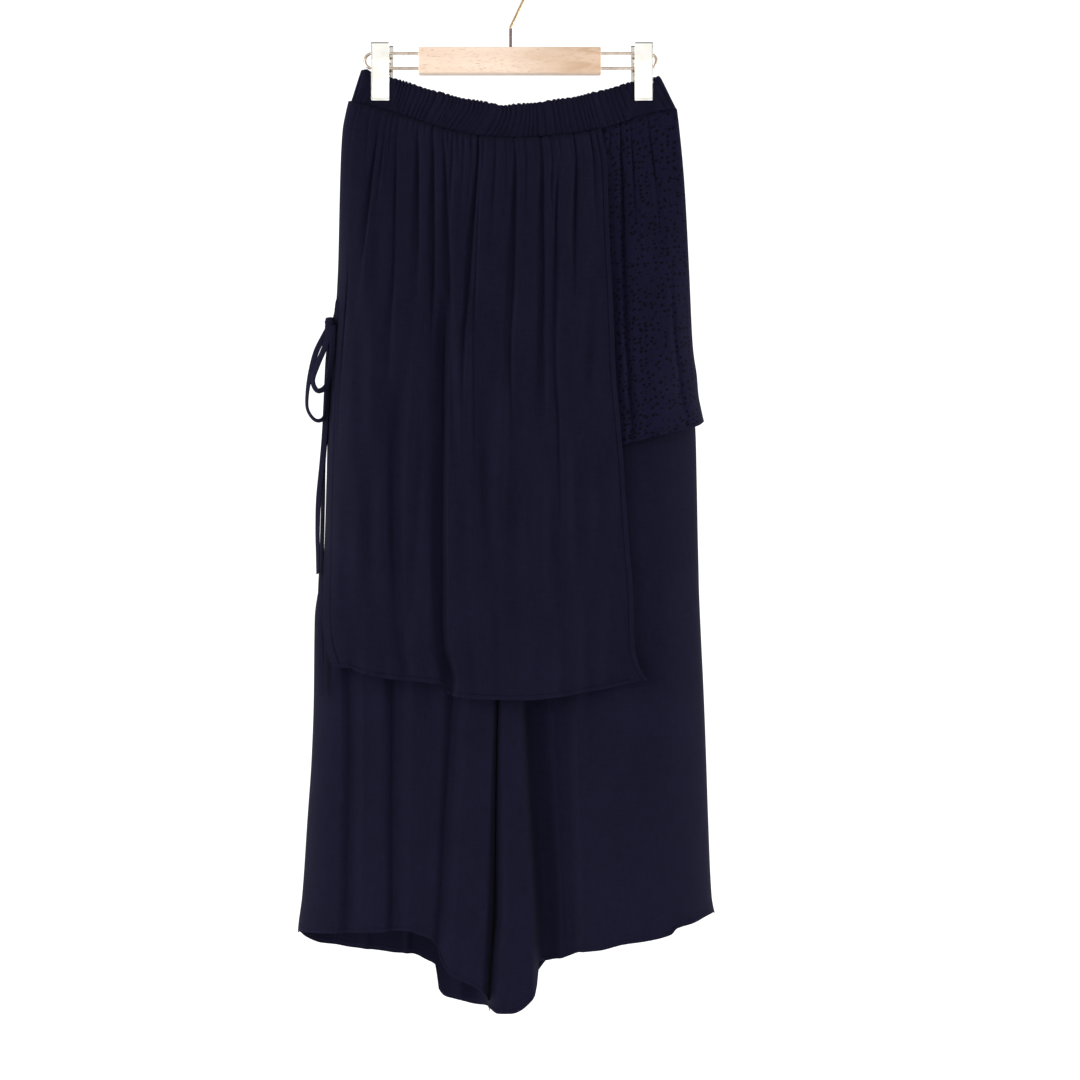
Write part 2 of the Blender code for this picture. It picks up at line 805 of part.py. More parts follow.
def apron_place(across, down):
    """A point of the long front apron, gathered at the waist."""
    drift = APRON_DRIFT[0] * min(down / 0.35, 1.0) + APRON_DRIFT[1] * max(down - 0.5, 0.0) / 0.5
    share = across - drift * 4.0 * across * (1.0 - across)

    def x_at(z):
        left = edge_x(APRON_LEFT, z)
        return left + (edge_x(APRON_RIGHT, z) - left) * share

    x, z = hang(down, x_at, HEM_APRON)
    width = edge_x(APRON_RIGHT, z) - edge_x(APRON_LEFT, z)
    out = skin(x, z, "front", APRON_LAYER, APRON_RELIEF)
    folded = fold_share(down, 0.12) * trough(APRON_FOLDS, across, width, z)
    return Vector((x, folded - out, z))


def apron(collection, look):
    """The long panel that hangs in front from the left side to right of the middle."""
    rows = [0.0, 0.025, 0.07, 0.13, 0.2, 0.28, 0.37, 0.47, 0.57, 0.68, 0.79, 0.88, 0.95, 1.0]
    columns = marks(APRON_FOLDS, APRON_WIDTH, 0.045, (0.0, 0.004, 0.016, 0.045, 0.985, 1.0))
    sheet("apron_panel", collection, look, columns, rows, apron_place, WALL)


def dotted_front_place(across, down):
    """A point of the dotted hip panel, from under the apron to the right side seam."""

    def x_at(z):
        return DOTTED_HIDDEN_EDGE + (edge_x(DOTTED_RIGHT, z) - DOTTED_HIDDEN_EDGE) * across

    x, z = hang(down, x_at, HEM_DOTTED_FRONT)
    width = edge_x(DOTTED_RIGHT, z) - DOTTED_HIDDEN_EDGE
    flare = edge_x(DOTTED_RIGHT, z) - body("right", z)
    top_out, lower_out, _ = DOTTED_LAYER
    out = skin(x, z, "front", (top_out, lower_out, flare), DOTTED_RELIEF)
    out -= fold_share(down, 0.2) * trough(DOTTED_FRONT_FOLDS, across, width, z)
    return Vector((x, -max(out, LEAST_OUT), z))


def dotted_back_place(across, down):
    """A point of the dotted panel's back, from the right side seam round to the left side."""

    def x_at(z):
        right = edge_x(DOTTED_RIGHT, z)
        left = body("left", z) - DOTTED_LAYER[2]
        return right + (left - right) * across

    x, z = hang(down, x_at, HEM_DOTTED_BACK)
    width = edge_x(DOTTED_RIGHT, z) - body("left", z)
    flare = edge_x(DOTTED_RIGHT, z) - body("right", z)
    side_out = flare if x > 0.0 else DOTTED_LAYER[2]
    top_out, lower_out, _ = DOTTED_LAYER
    out = skin(x, z, "back", (top_out, lower_out, side_out), DOTTED_RELIEF)
    out -= fold_share(down, 0.2) * trough(DOTTED_BACK_FOLDS, across, width, z)
    return Vector((x, max(out, LEAST_OUT), z))


def dotted_panels(collection, look):
    """The short dotted panel: its front part and its back."""
    rows = [0.0, 0.06, 0.15, 0.27, 0.4, 0.55, 0.7, 0.83, 0.93, 1.0]
    columns = marks(DOTTED_FRONT_FOLDS, DOTTED_FRONT_WIDTH, 0.1, (0.0, 0.9, 0.965, 0.99, 1.0))
    sheet("dotted_panel_front", collection, look, columns, rows, dotted_front_place, WALL)
    ends = (0.0, 0.003, 0.012, 0.04, 0.96, 0.988, 0.997, 1.0)
    columns = marks(DOTTED_BACK_FOLDS, DOTTED_BACK_WIDTH, 0.06, ends)
    sheet("dotted_panel_back", collection, look, columns, rows, dotted_back_place, WALL)


# Tie


def tie(collection, look):
    """The bow at the left slit: knot, base, two loops and two tails."""
    bpy.ops.mesh.primitive_cube_add(size=1.0)
    knot = bpy.context.active_object
    knot.name = "tie_knot"
    knot.data.name = "tie_knot"
    for vertex in knot.data.vertices:
        for axis in range(3):
            vertex.co[axis] = (vertex.co[axis] * KNOT_SIZE[axis] + KNOT_CENTRE[axis]) * MM
    keep(knot, collection, look)
    soft = knot.modifiers.new("Soft edges", "BEVEL")
    soft.width = KNOT_EDGE * MM
    soft.segments = 2
    plans = (
        ("tie_base", TIE_BASE),
        ("tie_loop_outer", LOOP_OUTER),
        ("tie_loop_inner", LOOP_INNER),
        ("tie_tail_short", TAIL_SHORT),
        ("tie_tail_long", TAIL_LONG),
    )
    for name, stations in plans:
        tube(name, collection, look, route(stations, 2.8 * TAPE), TAPE)


# Hanger


def bar(collection, look):
    """The beech bar, with softened edges."""
    bpy.ops.mesh.primitive_cube_add(size=1.0)
    wood = bpy.context.active_object
    wood.name = "hanger_bar"
    wood.data.name = "hanger_bar"
    for vertex in wood.data.vertices:
        for axis in range(3):
            vertex.co[axis] = (vertex.co[axis] * BAR_SIZE[axis] + BAR_CENTRE[axis]) * MM
    keep(wood, collection, look)
    soft = wood.modifiers.new("Soft edges", "BEVEL")
    soft.width = BAR_EDGE * MM
    soft.segments = 3


def wires(collection, look):
    """On each side two rods come out of the bar and meet in a round loop beyond the clip."""
    middle_z = 0.5 * (ROD_UPPER_Z + ROD_LOWER_Z)
    radius = 0.5 * (ROD_UPPER_Z - ROD_LOWER_Z)
    for name, sign in (("left", -1.0), ("right", 1.0)):
        bar_end = BAR_CENTRE[0] + sign * (0.5 * BAR_SIZE[0] + FIT_GAP)
        turn_x = sign * LOOP_CENTRE_X
        points = [(bar_end, 0.0, ROD_UPPER_Z), (0.5 * (bar_end + turn_x), 0.0, ROD_UPPER_Z)]
        for k in range(13):
            angle = math.radians(90.0 - 15.0 * k)
            points.append(
                (turn_x + sign * radius * math.cos(angle), 0.0, middle_z + radius * math.sin(angle))
            )
        points += [(0.5 * (bar_end + turn_x), 0.0, ROD_LOWER_Z), (bar_end, 0.0, ROD_LOWER_Z)]
        tube(f"hanger_wire_{name}", collection, look, points, WIRE)


def clip_plate(side, centre_x, width):
    """A point of a clip's sprung plate, across its width and down its side profile."""
    sign = -1.0 if side == "front" else 1.0

    def place(across, down):
        outs = [point.out for point in CLIP_PROFILE]
        heights = [-point.z for point in CLIP_PROFILE]
        height = heights[0] + (heights[-1] - heights[0]) * down
        out = along(heights, outs, height)
        return Vector((centre_x + (across - 0.5) * width, sign * out, -height))

    return place


def clips(collection, brass, steel):
    """Each clip: a front plate, a back plate and the sprung hinge round the lower rod."""
    rows = [k / 14.0 for k in range(15)]
    columns = [0.0, 0.5, 1.0]
    for name, centre_x, shift in (
        ("left", CLIP_LEFT_X, CLIP_BACK_SHIFT),
        ("right", CLIP_RIGHT_X, -CLIP_BACK_SHIFT),
    ):
        place = clip_plate("front", centre_x, CLIP_WIDTH)
        sheet(f"clip_front_{name}", collection, brass, columns, rows, place, CLIP_PLATE)
        place = clip_plate("back", centre_x + shift, CLIP_WIDTH)
        sheet(f"clip_back_{name}", collection, brass, columns, rows, place, CLIP_PLATE)
        ring = bpy.data.meshes.new(f"clip_spring_{name}")
        profile = bmesh.new()
        corners = (
            (SPRING_RADIUS, 0.5 * SPRING_LENGTH),
            (SPRING_RADIUS, -0.5 * SPRING_LENGTH),
            (SPRING_BORE, -0.5 * SPRING_LENGTH),
            (SPRING_BORE, 0.5 * SPRING_LENGTH),
        )
        made = [profile.verts.new((r * MM, 0.0, h * MM)) for r, h in corners]
        for first, second in zip(made, made[1:] + made[:1]):
            profile.edges.new((first, second))
        profile.to_mesh(ring)
        profile.free()
        spring = bpy.data.objects.new(f"clip_spring_{name}", ring)
        keep(spring, collection, steel)
        spring.location = Vector((centre_x, 0.0, ROD_LOWER_Z)) * MM
        spring.rotation_euler = (0.0, math.radians(90.0), 0.0)
        turned = spring.modifiers.new("Turned", "SCREW")
        turned.angle = math.radians(360.0)
        turned.steps = 16
        turned.render_steps = 16
        turned.use_merge_vertices = True
        turned.merge_threshold = 0.00002


def hook(collection, brass, steel):
    """The hook: a straight stem out of the bar, then a wire that slants right and curls over."""
    bpy.ops.mesh.primitive_cylinder_add(vertices=16, radius=1.0, depth=1.0)
    stem = bpy.context.active_object
    stem.name = "hook_stem"
    stem.data.name = "hook_stem"
    low = BAR_CENTRE[2] + 0.5 * BAR_SIZE[2] + FIT_GAP
    high = HOOK_BEND_Z - HOOK_FOOT - FIT_GAP
    for vertex in stem.data.vertices:
        vertex.co.x *= 0.5 * WIRE * MM
        vertex.co.y *= 0.5 * WIRE * MM
        vertex.co.z = (0.5 * (low + high) + vertex.co.z * (high - low)) * MM
    keep(stem, collection, steel)
    leave = math.radians(HOOK_LEAVES_AT)
    start = Vector((0.0, 0.0, HOOK_BEND_Z))
    tangent = Vector(
        (HOOK_RADIUS * math.cos(leave), 0.0, HOOK_CENTRE_Z + HOOK_RADIUS * math.sin(leave))
    )
    points = [start - Vector((0.0, 0.0, HOOK_FOOT)), start + Vector((0.0, 0.0, HOOK_FOOT / 3.0))]
    points += [start.lerp(tangent, share) for share in (0.06, 0.35, 0.7)]
    count = 20
    for k in range(count + 1):
        angle = leave + (math.radians(HOOK_ENDS_AT) - leave) * k / count
        points.append(
            Vector(
                (HOOK_RADIUS * math.cos(angle), 0.0, HOOK_CENTRE_Z + HOOK_RADIUS * math.sin(angle))
            )
        )
    tube("hook", collection, brass, points, WIRE)


def main():
    """Build the garment and its hanger."""
    clear_scene()
    collection = bpy.data.collections.new("Culottes on a clip hanger")
    bpy.context.scene.collection.children.link(collection)
    navy = material("Navy cloth", (0.012, 0.012, 0.03), 0.85)
    dotted = material("Dotted navy cloth", (0.010, 0.010, 0.026), 0.85)
    tape = material("Navy tape", (0.014, 0.014, 0.034), 0.8)
    beech = material("Beech", (0.75, 0.56, 0.38), 0.5)
    brass = material("Brass", (0.80, 0.62, 0.36), 0.25, 1.0)
    steel = material("Dark steel", (0.16, 0.12, 0.11), 0.4, 1.0)
    waistband(collection, navy)
    legs(collection, navy)
    apron(collection, navy)
    dotted_panels(collection, dotted)
    tie(collection, tape)
    bar(collection, beech)
    wires(collection, brass)
    clips(collection, brass, steel)
    hook(collection, brass, steel)


main()
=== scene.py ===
"""Dresses the culottes on their clip hanger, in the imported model's own frame, for a studio picture.

Forms are in millimetres; the tapes' routes, the finishes and the studio are in metres. Heights are
measured up from the inner top of the hanger's hook, and -Y is the front.
"""

import logging
import math
from dataclasses import dataclass
from enum import Enum
from typing import Callable, ClassVar, Sequence

import bmesh
import bpy
import numpy as np
from mathutils import Matrix, Vector


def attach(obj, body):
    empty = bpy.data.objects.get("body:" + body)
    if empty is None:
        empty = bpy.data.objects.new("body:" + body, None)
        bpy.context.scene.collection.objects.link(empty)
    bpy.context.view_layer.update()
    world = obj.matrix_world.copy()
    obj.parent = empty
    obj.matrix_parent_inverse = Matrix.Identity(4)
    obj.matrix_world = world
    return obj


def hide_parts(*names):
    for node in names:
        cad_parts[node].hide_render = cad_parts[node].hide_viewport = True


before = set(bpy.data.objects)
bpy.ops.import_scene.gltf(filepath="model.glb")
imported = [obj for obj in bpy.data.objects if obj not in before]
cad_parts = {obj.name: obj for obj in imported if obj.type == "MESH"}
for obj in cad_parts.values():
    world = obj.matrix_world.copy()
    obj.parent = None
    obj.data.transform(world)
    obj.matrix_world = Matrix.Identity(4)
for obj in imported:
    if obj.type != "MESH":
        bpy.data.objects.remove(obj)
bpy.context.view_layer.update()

MM = 0.001
BODY_NAME = "root"
CLOTH_MAP = "Cloth"
# Passes that find a panel's upper and lower end, and steps from point to point of a route
HANGING_PASSES = 8
FINE_STEPS = 12

Piece = bpy.types.Object
Material = bpy.types.Material
Socket = bpy.types.NodeSocket
Field = np.ndarray
Colour = tuple[float, float, float]
Point = tuple[float, float, float]
Place = tuple[Field, Field, Field]
Pair = tuple[float, float]

log = logging.getLogger("culottes")


class Side(Enum):
    """The garment's front and back, as signs along Y."""

    FRONT = -1.0
    BACK = 1.0


class LegName(Enum):
    """The two legs, as the garment is looked at."""

    LEFT = "left"
    RIGHT = "right"


# The garment's named sizes, row by row as a maker would list them

# height, left seam, middle line, right seam, half depth in front, half depth behind
BODY_ROWS = (
    (-150, -165, 3, 170.5, 15, 15),
    (-180, -171, 2.5, 174, 16, 16),
    (-212, -173.3, 2, 177, 17.2, 17),
    (-280, -175.2, 0.5, 182, 19.8, 19.4),
    (-348, -176.9, -2, 185.2, 22.2, 21.6),
    (-400, -179, -4, 187.7, 24, 23.2),
    (-463, -183.2, -7, 191.8, 26.2, 25.2),
    (-505, -185.3, -9, 194.3, 27.6, 26.4),
    (-547, -187.3, -10.5, 195.2, 29, 27.8),
    (-610, -189.5, -11.5, 196.4, 31, 29.6),
    (-640, -195.5, -12, 197.1, 31.9, 30.4),
    (-660, -201, -12.3, 197.5, 32.5, 31),
    (-693, -205.4, -12.7, 198.8, 33.4, 31.9),
    (-778, -206.4, -13.5, 202.8, 35.8, 34),
    (-837, -208.5, -14.5, 205, 37.4, 35.4),
    (-903, -213, -15.5, 207.2, 39.2, 37),
    (-983, -218.5, -16.5, 210.8, 41.2, 38.9),
    (-1020, -222.9, -18.2, 217.5, 42.2, 39.8),
    (-1110, -225, -22.5, 221, 44, 41.4),
)
# height, place across
APRON_LEFT_ROWS = (
    (-150, -170.2), (-160, -172.6), (-180, -176.2), (-212, -178.1), (-348, -181.7),
    (-400, -185.8), (-463, -190.6), (-505, -192.3), (-547, -193.2), (-610, -194.2),
    (-673, -194.3), (-694, -194), (-716, -191.7), (-744, -182.2),
)
APRON_RIGHT_ROWS = (
    (-178, 94.5), (-190, 96.5), (-214, 100.5), (-281, 102.7), (-352, 106.1),
    (-437, 109.2), (-479, 112.7), (-526, 116.8), (-610, 122.6), (-672, 127.3),
    (-719, 128.6), (-738, 133), (-754, 140.8),
)
DOTTED_RIGHT_ROWS = (
    (-150, 173.5), (-176, 176.8), (-238, 182.5), (-327, 187.3), (-397, 190.5),
    (-415, 192), (-437, 195.3), (-458, 197.1), (-474, 200.2), (-487, 203.2),
)
# place across, height
BAND_TOP_ROWS = (
    (-156.6, -115.7), (-126, -124.7), (-52.5, -148.4), (-16, -155.4), (-7.7, -157),
    (2, -156.4), (33, -153.2), (72.6, -146), (125.8, -130.4), (157.8, -123.3),
)
BAND_SEAM_ROWS = (
    (-167, -149.8), (-140.2, -157.4), (-99.3, -169.4), (-69.9, -180.2), (-34, -188.5),
    (-0.5, -190.9), (33, -189.8), (71.3, -185), (99.9, -177.8), (131.5, -167.7),
    (163, -159.3), (173.9, -158),
)
HEM_LEFT_FRONT_ROWS = (
    (-222.5, -1019), (-213, -1018), (-179, -1016.3), (-124.2, -1014.3), (-108.7, -1013.2),
    (-93.2, -1017.4), (-82.3, -1021.5), (-75.5, -1029.3), (-71.5, -1043.2), (-62.2, -1057.7),
    (-46.1, -1066.5), (-33.7, -1072.7), (-27, -1078.4), (-18, -1102),
)
HEM_LEFT_BACK_ROWS = (
    (-222.5, -1022), (-217, -1030), (-203, -1038.8), (-186, -1042.2), (-172.8, -1045),
    (-155.4, -1046.6), (-138, -1048.6), (-122.9, -1051), (-105.6, -1052), (-90.6, -1058.6),
    (-80.6, -1064.5), (-77.8, -1089), (-70.5, -1097.6), (-55.5, -1101.2), (-35.5, -1106),
    (-18, -1104),
)
HEM_RIGHT_FRONT_ROWS = (
    (-17, -1095), (-10, -1098.3), (4, -1097.8), (11.3, -1095), (20.5, -1087),
    (24.6, -1082), (27.4, -1074.5), (28.8, -1046.6), (36, -1047.4), (48, -1045),
    (60.9, -1041), (72.2, -1035.5), (93.9, -1032.9), (115.6, -1027.7), (141, -1023.6),
    (166.3, -1017.4), (172.5, -1011.2), (189.6, -1006.7), (206.6, -1000.5), (215.5, -999),
)
HEM_RIGHT_BACK_ROWS = (
    (-17, -1093), (20, -1080), (40, -1056), (90, -1037), (150, -1024),
    (190, -1010), (215.5, -1001),
)
HEM_APRON_ROWS = (
    (-182.2, -741.2), (-163.4, -742), (-157.8, -745.3), (-126.7, -752.6), (-80.6, -757.3),
    (-68, -759.5), (-63, -769.6), (-30.9, -773.8), (15.4, -774.8), (51.5, -771.7),
    (81, -766.4), (110.6, -761), (140.8, -753.3),
)
HEM_DOTTED_FRONT_ROWS = (
    (60, -522), (116.3, -511.4), (134.8, -506.7), (158.4, -500.8), (185.8, -494.2),
    (196.5, -490.5), (203.2, -485.5),
)
HEM_DOTTED_BACK_ROWS = (
    (-190, -500), (-120, -512), (0, -526), (120, -508), (190, -491),
    (203.2, -485.5),
)

# The tapes' routes, in metres
LOOP_OUTER_ROUTE = (
    (-0.1910, -0.0120, -0.3899), (-0.1945, -0.0120, -0.3965), (-0.2030, -0.0120, -0.4135),
    (-0.2088, -0.0120, -0.4350), (-0.2124, -0.0120, -0.4560), (-0.2122, -0.0120, -0.4735),
    (-0.2040, -0.0120, -0.4850), (-0.1946, -0.0120, -0.4825), (-0.1917, -0.0120, -0.4660),
    (-0.1899, -0.0120, -0.4360), (-0.1876, -0.0120, -0.4050), (-0.1866, -0.0120, -0.3899),
)
LOOP_INNER_ROUTE = (
    (-0.1896, -0.0167, -0.3899), (-0.1900, -0.0167, -0.3970), (-0.1935, -0.0167, -0.4090),
    (-0.2015, -0.0167, -0.4280), (-0.2062, -0.0167, -0.4440), (-0.2012, -0.0167, -0.4545),
    (-0.1926, -0.0167, -0.4505), (-0.1887, -0.0167, -0.4380), (-0.1858, -0.0167, -0.4120),
    (-0.1851, -0.0167, -0.3899),
)
TAIL_SHORT_ROUTE = (
    (-0.1874, -0.0074, -0.3899), (-0.1886, -0.0074, -0.4030), (-0.1906, -0.0074, -0.4220),
    (-0.1919, -0.0074, -0.4450), (-0.1930, -0.0074, -0.4700), (-0.1946, -0.0074, -0.5000),
    (-0.1972, -0.0074, -0.5300), (-0.2010, -0.0076, -0.5670), (-0.2017, -0.0115, -0.6000),
    (-0.2009, -0.0178, -0.6250), (-0.2003, -0.0232, -0.6450),
)
TAIL_LONG_ROUTE = (
    (-0.1874, -0.0029, -0.3899), (-0.1888, -0.0029, -0.4030), (-0.1912, -0.0029, -0.4220),
    (-0.1928, -0.0029, -0.4600), (-0.1946, -0.0029, -0.5000), (-0.1968, -0.0029, -0.5300),
    (-0.1969, -0.0030, -0.5670), (-0.1973, -0.0060, -0.6000), (-0.1975, -0.0145, -0.6380),
    (-0.1970, -0.0265, -0.6600), (-0.1966, -0.0320, -0.6880), (-0.1961, -0.0336, -0.7220),
    (-0.1958, -0.0345, -0.7710),
)
TIE_BASE_ROUTE = (
    (-0.1780, -0.0080, -0.3560), (-0.1797, -0.0112, -0.3610), (-0.1804, -0.0130, -0.3670),
    (-0.1812, -0.0135, -0.3735), (-0.1832, -0.0120, -0.3795), (-0.1868, -0.0100, -0.3850),
)


def ease(value: Field) -> Field:
    """A soft step from 0 to 1, as the value goes from 0 to 1."""
    value = np.clip(value, 0.0, 1.0)
    return value * value * (3.0 - 2.0 * value)


def further_down(z: Field, fade: Pair) -> Field:
    """A soft step from 0 at a fade's height to 1 at the end of its drop."""
    return ease((fade[0] - z) / fade[1])


def bell(offset: Field, half_width: float) -> Field:
    """A soft bump: 1 in its middle, near 0 at twice its half width."""
    return np.exp(-((offset / half_width) ** 2))


def quarter_round(distance: Field, radius: Field | float) -> Field:
    """How far a rounded side has come forward, 0 to 1, at a distance in from its edge."""
    share = 1.0 - np.clip(distance / radius, 0.0, 1.0)
    return np.sqrt(1.0 - share * share)


@dataclass(frozen=True)
class SmoothTable:
    """A smooth curve through a table's rows that never overshoots between them."""

    keys: tuple[float, ...]
    values: tuple[float, ...]

    @classmethod
    def of(cls, rows: Sequence[tuple[float, ...]], column: int = 1) -> "SmoothTable":
        """A curve of one of a table's columns over its first."""
        order = sorted(rows, key=lambda row: row[0])
        return cls(*(tuple(float(row[k]) for row in order) for k in (0, column)))

    def at(self, where: Field) -> Field:
        """The curve's values at some places.

        Args:
            where: the places, in the first column's measure.

        Returns:
            The values, flat beyond the table's two ends.
        """
        keys, values = np.array(self.keys), np.array(self.values)
        steps = np.diff(values) / np.diff(keys)
        slopes = np.empty_like(values)
        slopes[0], slopes[-1] = steps[0], steps[-1]
        before, after = steps[:-1], steps[1:]
        same_way = before * after > 0.0
        total = np.where(same_way, before + after, 1.0)
        slopes[1:-1] = np.where(same_way, 2.0 * before * after / total, 0.0)
        where = np.clip(where, keys[0], keys[-1])
        i = np.clip(np.searchsorted(keys, where, side="right") - 1, 0, len(keys) - 2)
        span = keys[i + 1] - keys[i]
        t = (where - keys[i]) / span
        rest = 1.0 - t
        return (
            values[i] * (1.0 + 2.0 * t) * rest**2
            + slopes[i] * span * t * rest**2
            + values[i + 1] * t * t * (3.0 - 2.0 * t)
            - slopes[i + 1] * span * t * t * rest
        )


@dataclass(frozen=True)
class Layer:
    """A layer's place in the stack.

    Attributes:
        top: how far it stands out below the band's seam.
        low: how far it stands out from the legs lower down.
        side: how far its sides hang outside the side seams.
        seam: how far out it is sewn in.
        relief: what its folds may take away.
    """

    top: float
    low: float
    side: float
    seam: float
    relief: float = 0.0


CULOTTE = Layer(0.8, 0.0, 0.0, 0.5)
DOTTED = Layer(4.2, 4.2, 3.0, 3.4, 3.0)
APRON = Layer(7.2, 8.6, 5.5, 4.4, 5.0)


@dataclass(frozen=True)
class GarmentForm:
    """The form that every layer of the garment hangs on.

    Attributes:
        left: the left side seam, over the height.
        middle: the inner seams.
        front: half the depth in front.
        band_top: the band's upper edge, over the place across.
        band_seam: its lower seam.
        clip_x: the clips' middles.
        clip_hold: how far from its middle a clip holds the band flat, as a share of its width.
        bow_depth: how far the band bows out between the clips.
        bow_roundness: how round that bow is, 1 for a peak.
        side_rounding: how far in from the side seams the cloth is rounded.
        hem_rounding: how much further it is at the hem, in front.
        hem_rounding_fade: the height where that starts, and the drop to its full.
        blend: how far below the seam the cloth has left the band's form.
        held_relief: the share of its relief that a layer has at the band.
        seam_roll: how far below the seam the cloth rolls out.
        tuck: how far above the seam the panels start, under the band.
        seam_closing: how far in a layer's side edges close at the seam.
    """

    left: SmoothTable = SmoothTable.of(BODY_ROWS, 1)
    middle: SmoothTable = SmoothTable.of(BODY_ROWS, 2)
    right: SmoothTable = SmoothTable.of(BODY_ROWS, 3)
    front: SmoothTable = SmoothTable.of(BODY_ROWS, 4)
    back: SmoothTable = SmoothTable.of(BODY_ROWS, 5)
    band_top: SmoothTable = SmoothTable.of(BAND_TOP_ROWS)
    band_seam: SmoothTable = SmoothTable.of(BAND_SEAM_ROWS)
    clip_x: Pair = (-136.6, 139.7)
    clip_width: float = 19.0
    clip_hold: float = 0.6
    bow_depth: float = 15.0
    bow_roundness: float = 1.6
    side_rounding: float = 50.0
    hem_rounding: float = 22.0
    hem_rounding_fade: Pair = (-700.0, 260.0)
    blend: float = 260.0
    held_relief: float = 0.45
    seam_roll: float = 4.5
    tuck: float = 0.5
    seam_closing: float = 5.0

    def bow(self, x: Field) -> Field:
        """How far the band bows out between the two clips.

        Args:
            x: places across.

        Returns:
            The distances out.
        """
        inner_left = self.clip_x[0] + self.clip_hold * self.clip_width
        inner_right = self.clip_x[1] - self.clip_hold * self.clip_width
        t = np.clip((x - inner_left) / (inner_right - inner_left), 0.0, 1.0)
        return self.bow_depth * ease(1.0 - np.abs(2.0 * t - 1.0) ** self.bow_roundness)

    def skin(
        self, x: Field, z: Field, side: Side, layer: Layer, side_out: Field | float,
        inner: Field | float, closing: Field,
    ) -> Field:
        """How far out a layer lies from the middle plane.

        Args:
            x: places across.
            z: heights.
            side: the front or the back.
            layer: the layer's place in the stack.
            side_out: how far the layer's side hangs outside the legs' side seam.
            inner: what rounds a leg towards its inner seam.
            closing: what closes the layer towards its own side edge, near the band.

        Returns:
            The distances out.
        """
        seam = self.band_seam.at(x)
        lowered = ease((seam - z) / self.blend)
        edge = np.minimum(x - self.left.at(z), self.right.at(z) - x) + side_out
        lower = further_down(z, self.hem_rounding_fade) if side is Side.FRONT else 0.0
        rounding = quarter_round(edge, self.side_rounding + self.hem_rounding * lower + side_out)
        depth = (self.front if side is Side.FRONT else self.back).at(z)
        round_part = (depth + layer.low + layer.relief) * rounding * inner
        flat_part = (self.bow(x) + layer.top + self.held_relief * layer.relief) * closing
        out = np.maximum((1.0 - lowered) * flat_part + lowered * round_part, 0.0)
        rise = ease((seam - z) / self.seam_roll)
        sewn_in = (self.bow(x) + layer.seam) * closing
        return sewn_in + (out - sewn_in) * rise

    def hang(
        self, down: Field, x_at: Callable[[Field], Field], hem: SmoothTable
    ) -> tuple[Field, Field]:
        """Places at a share of the way from the band's seam down to a hem.

        Args:
            down: the share, 0 at the seam and 1 at the hem.
            x_at: the place across at a height.
            hem: the hem's height over the place across.

        Returns:
            The places across and the heights.
        """
        top = np.full_like(down, self.band_seam.values[0])
        low = np.full_like(down, hem.values[0])
        for _ in range(HANGING_PASSES):
            top = self.band_seam.at(x_at(top)) + self.tuck
            low = hem.at(x_at(low))
        z = top + (low - top) * down
        return x_at(z), z


FORM = GarmentForm()


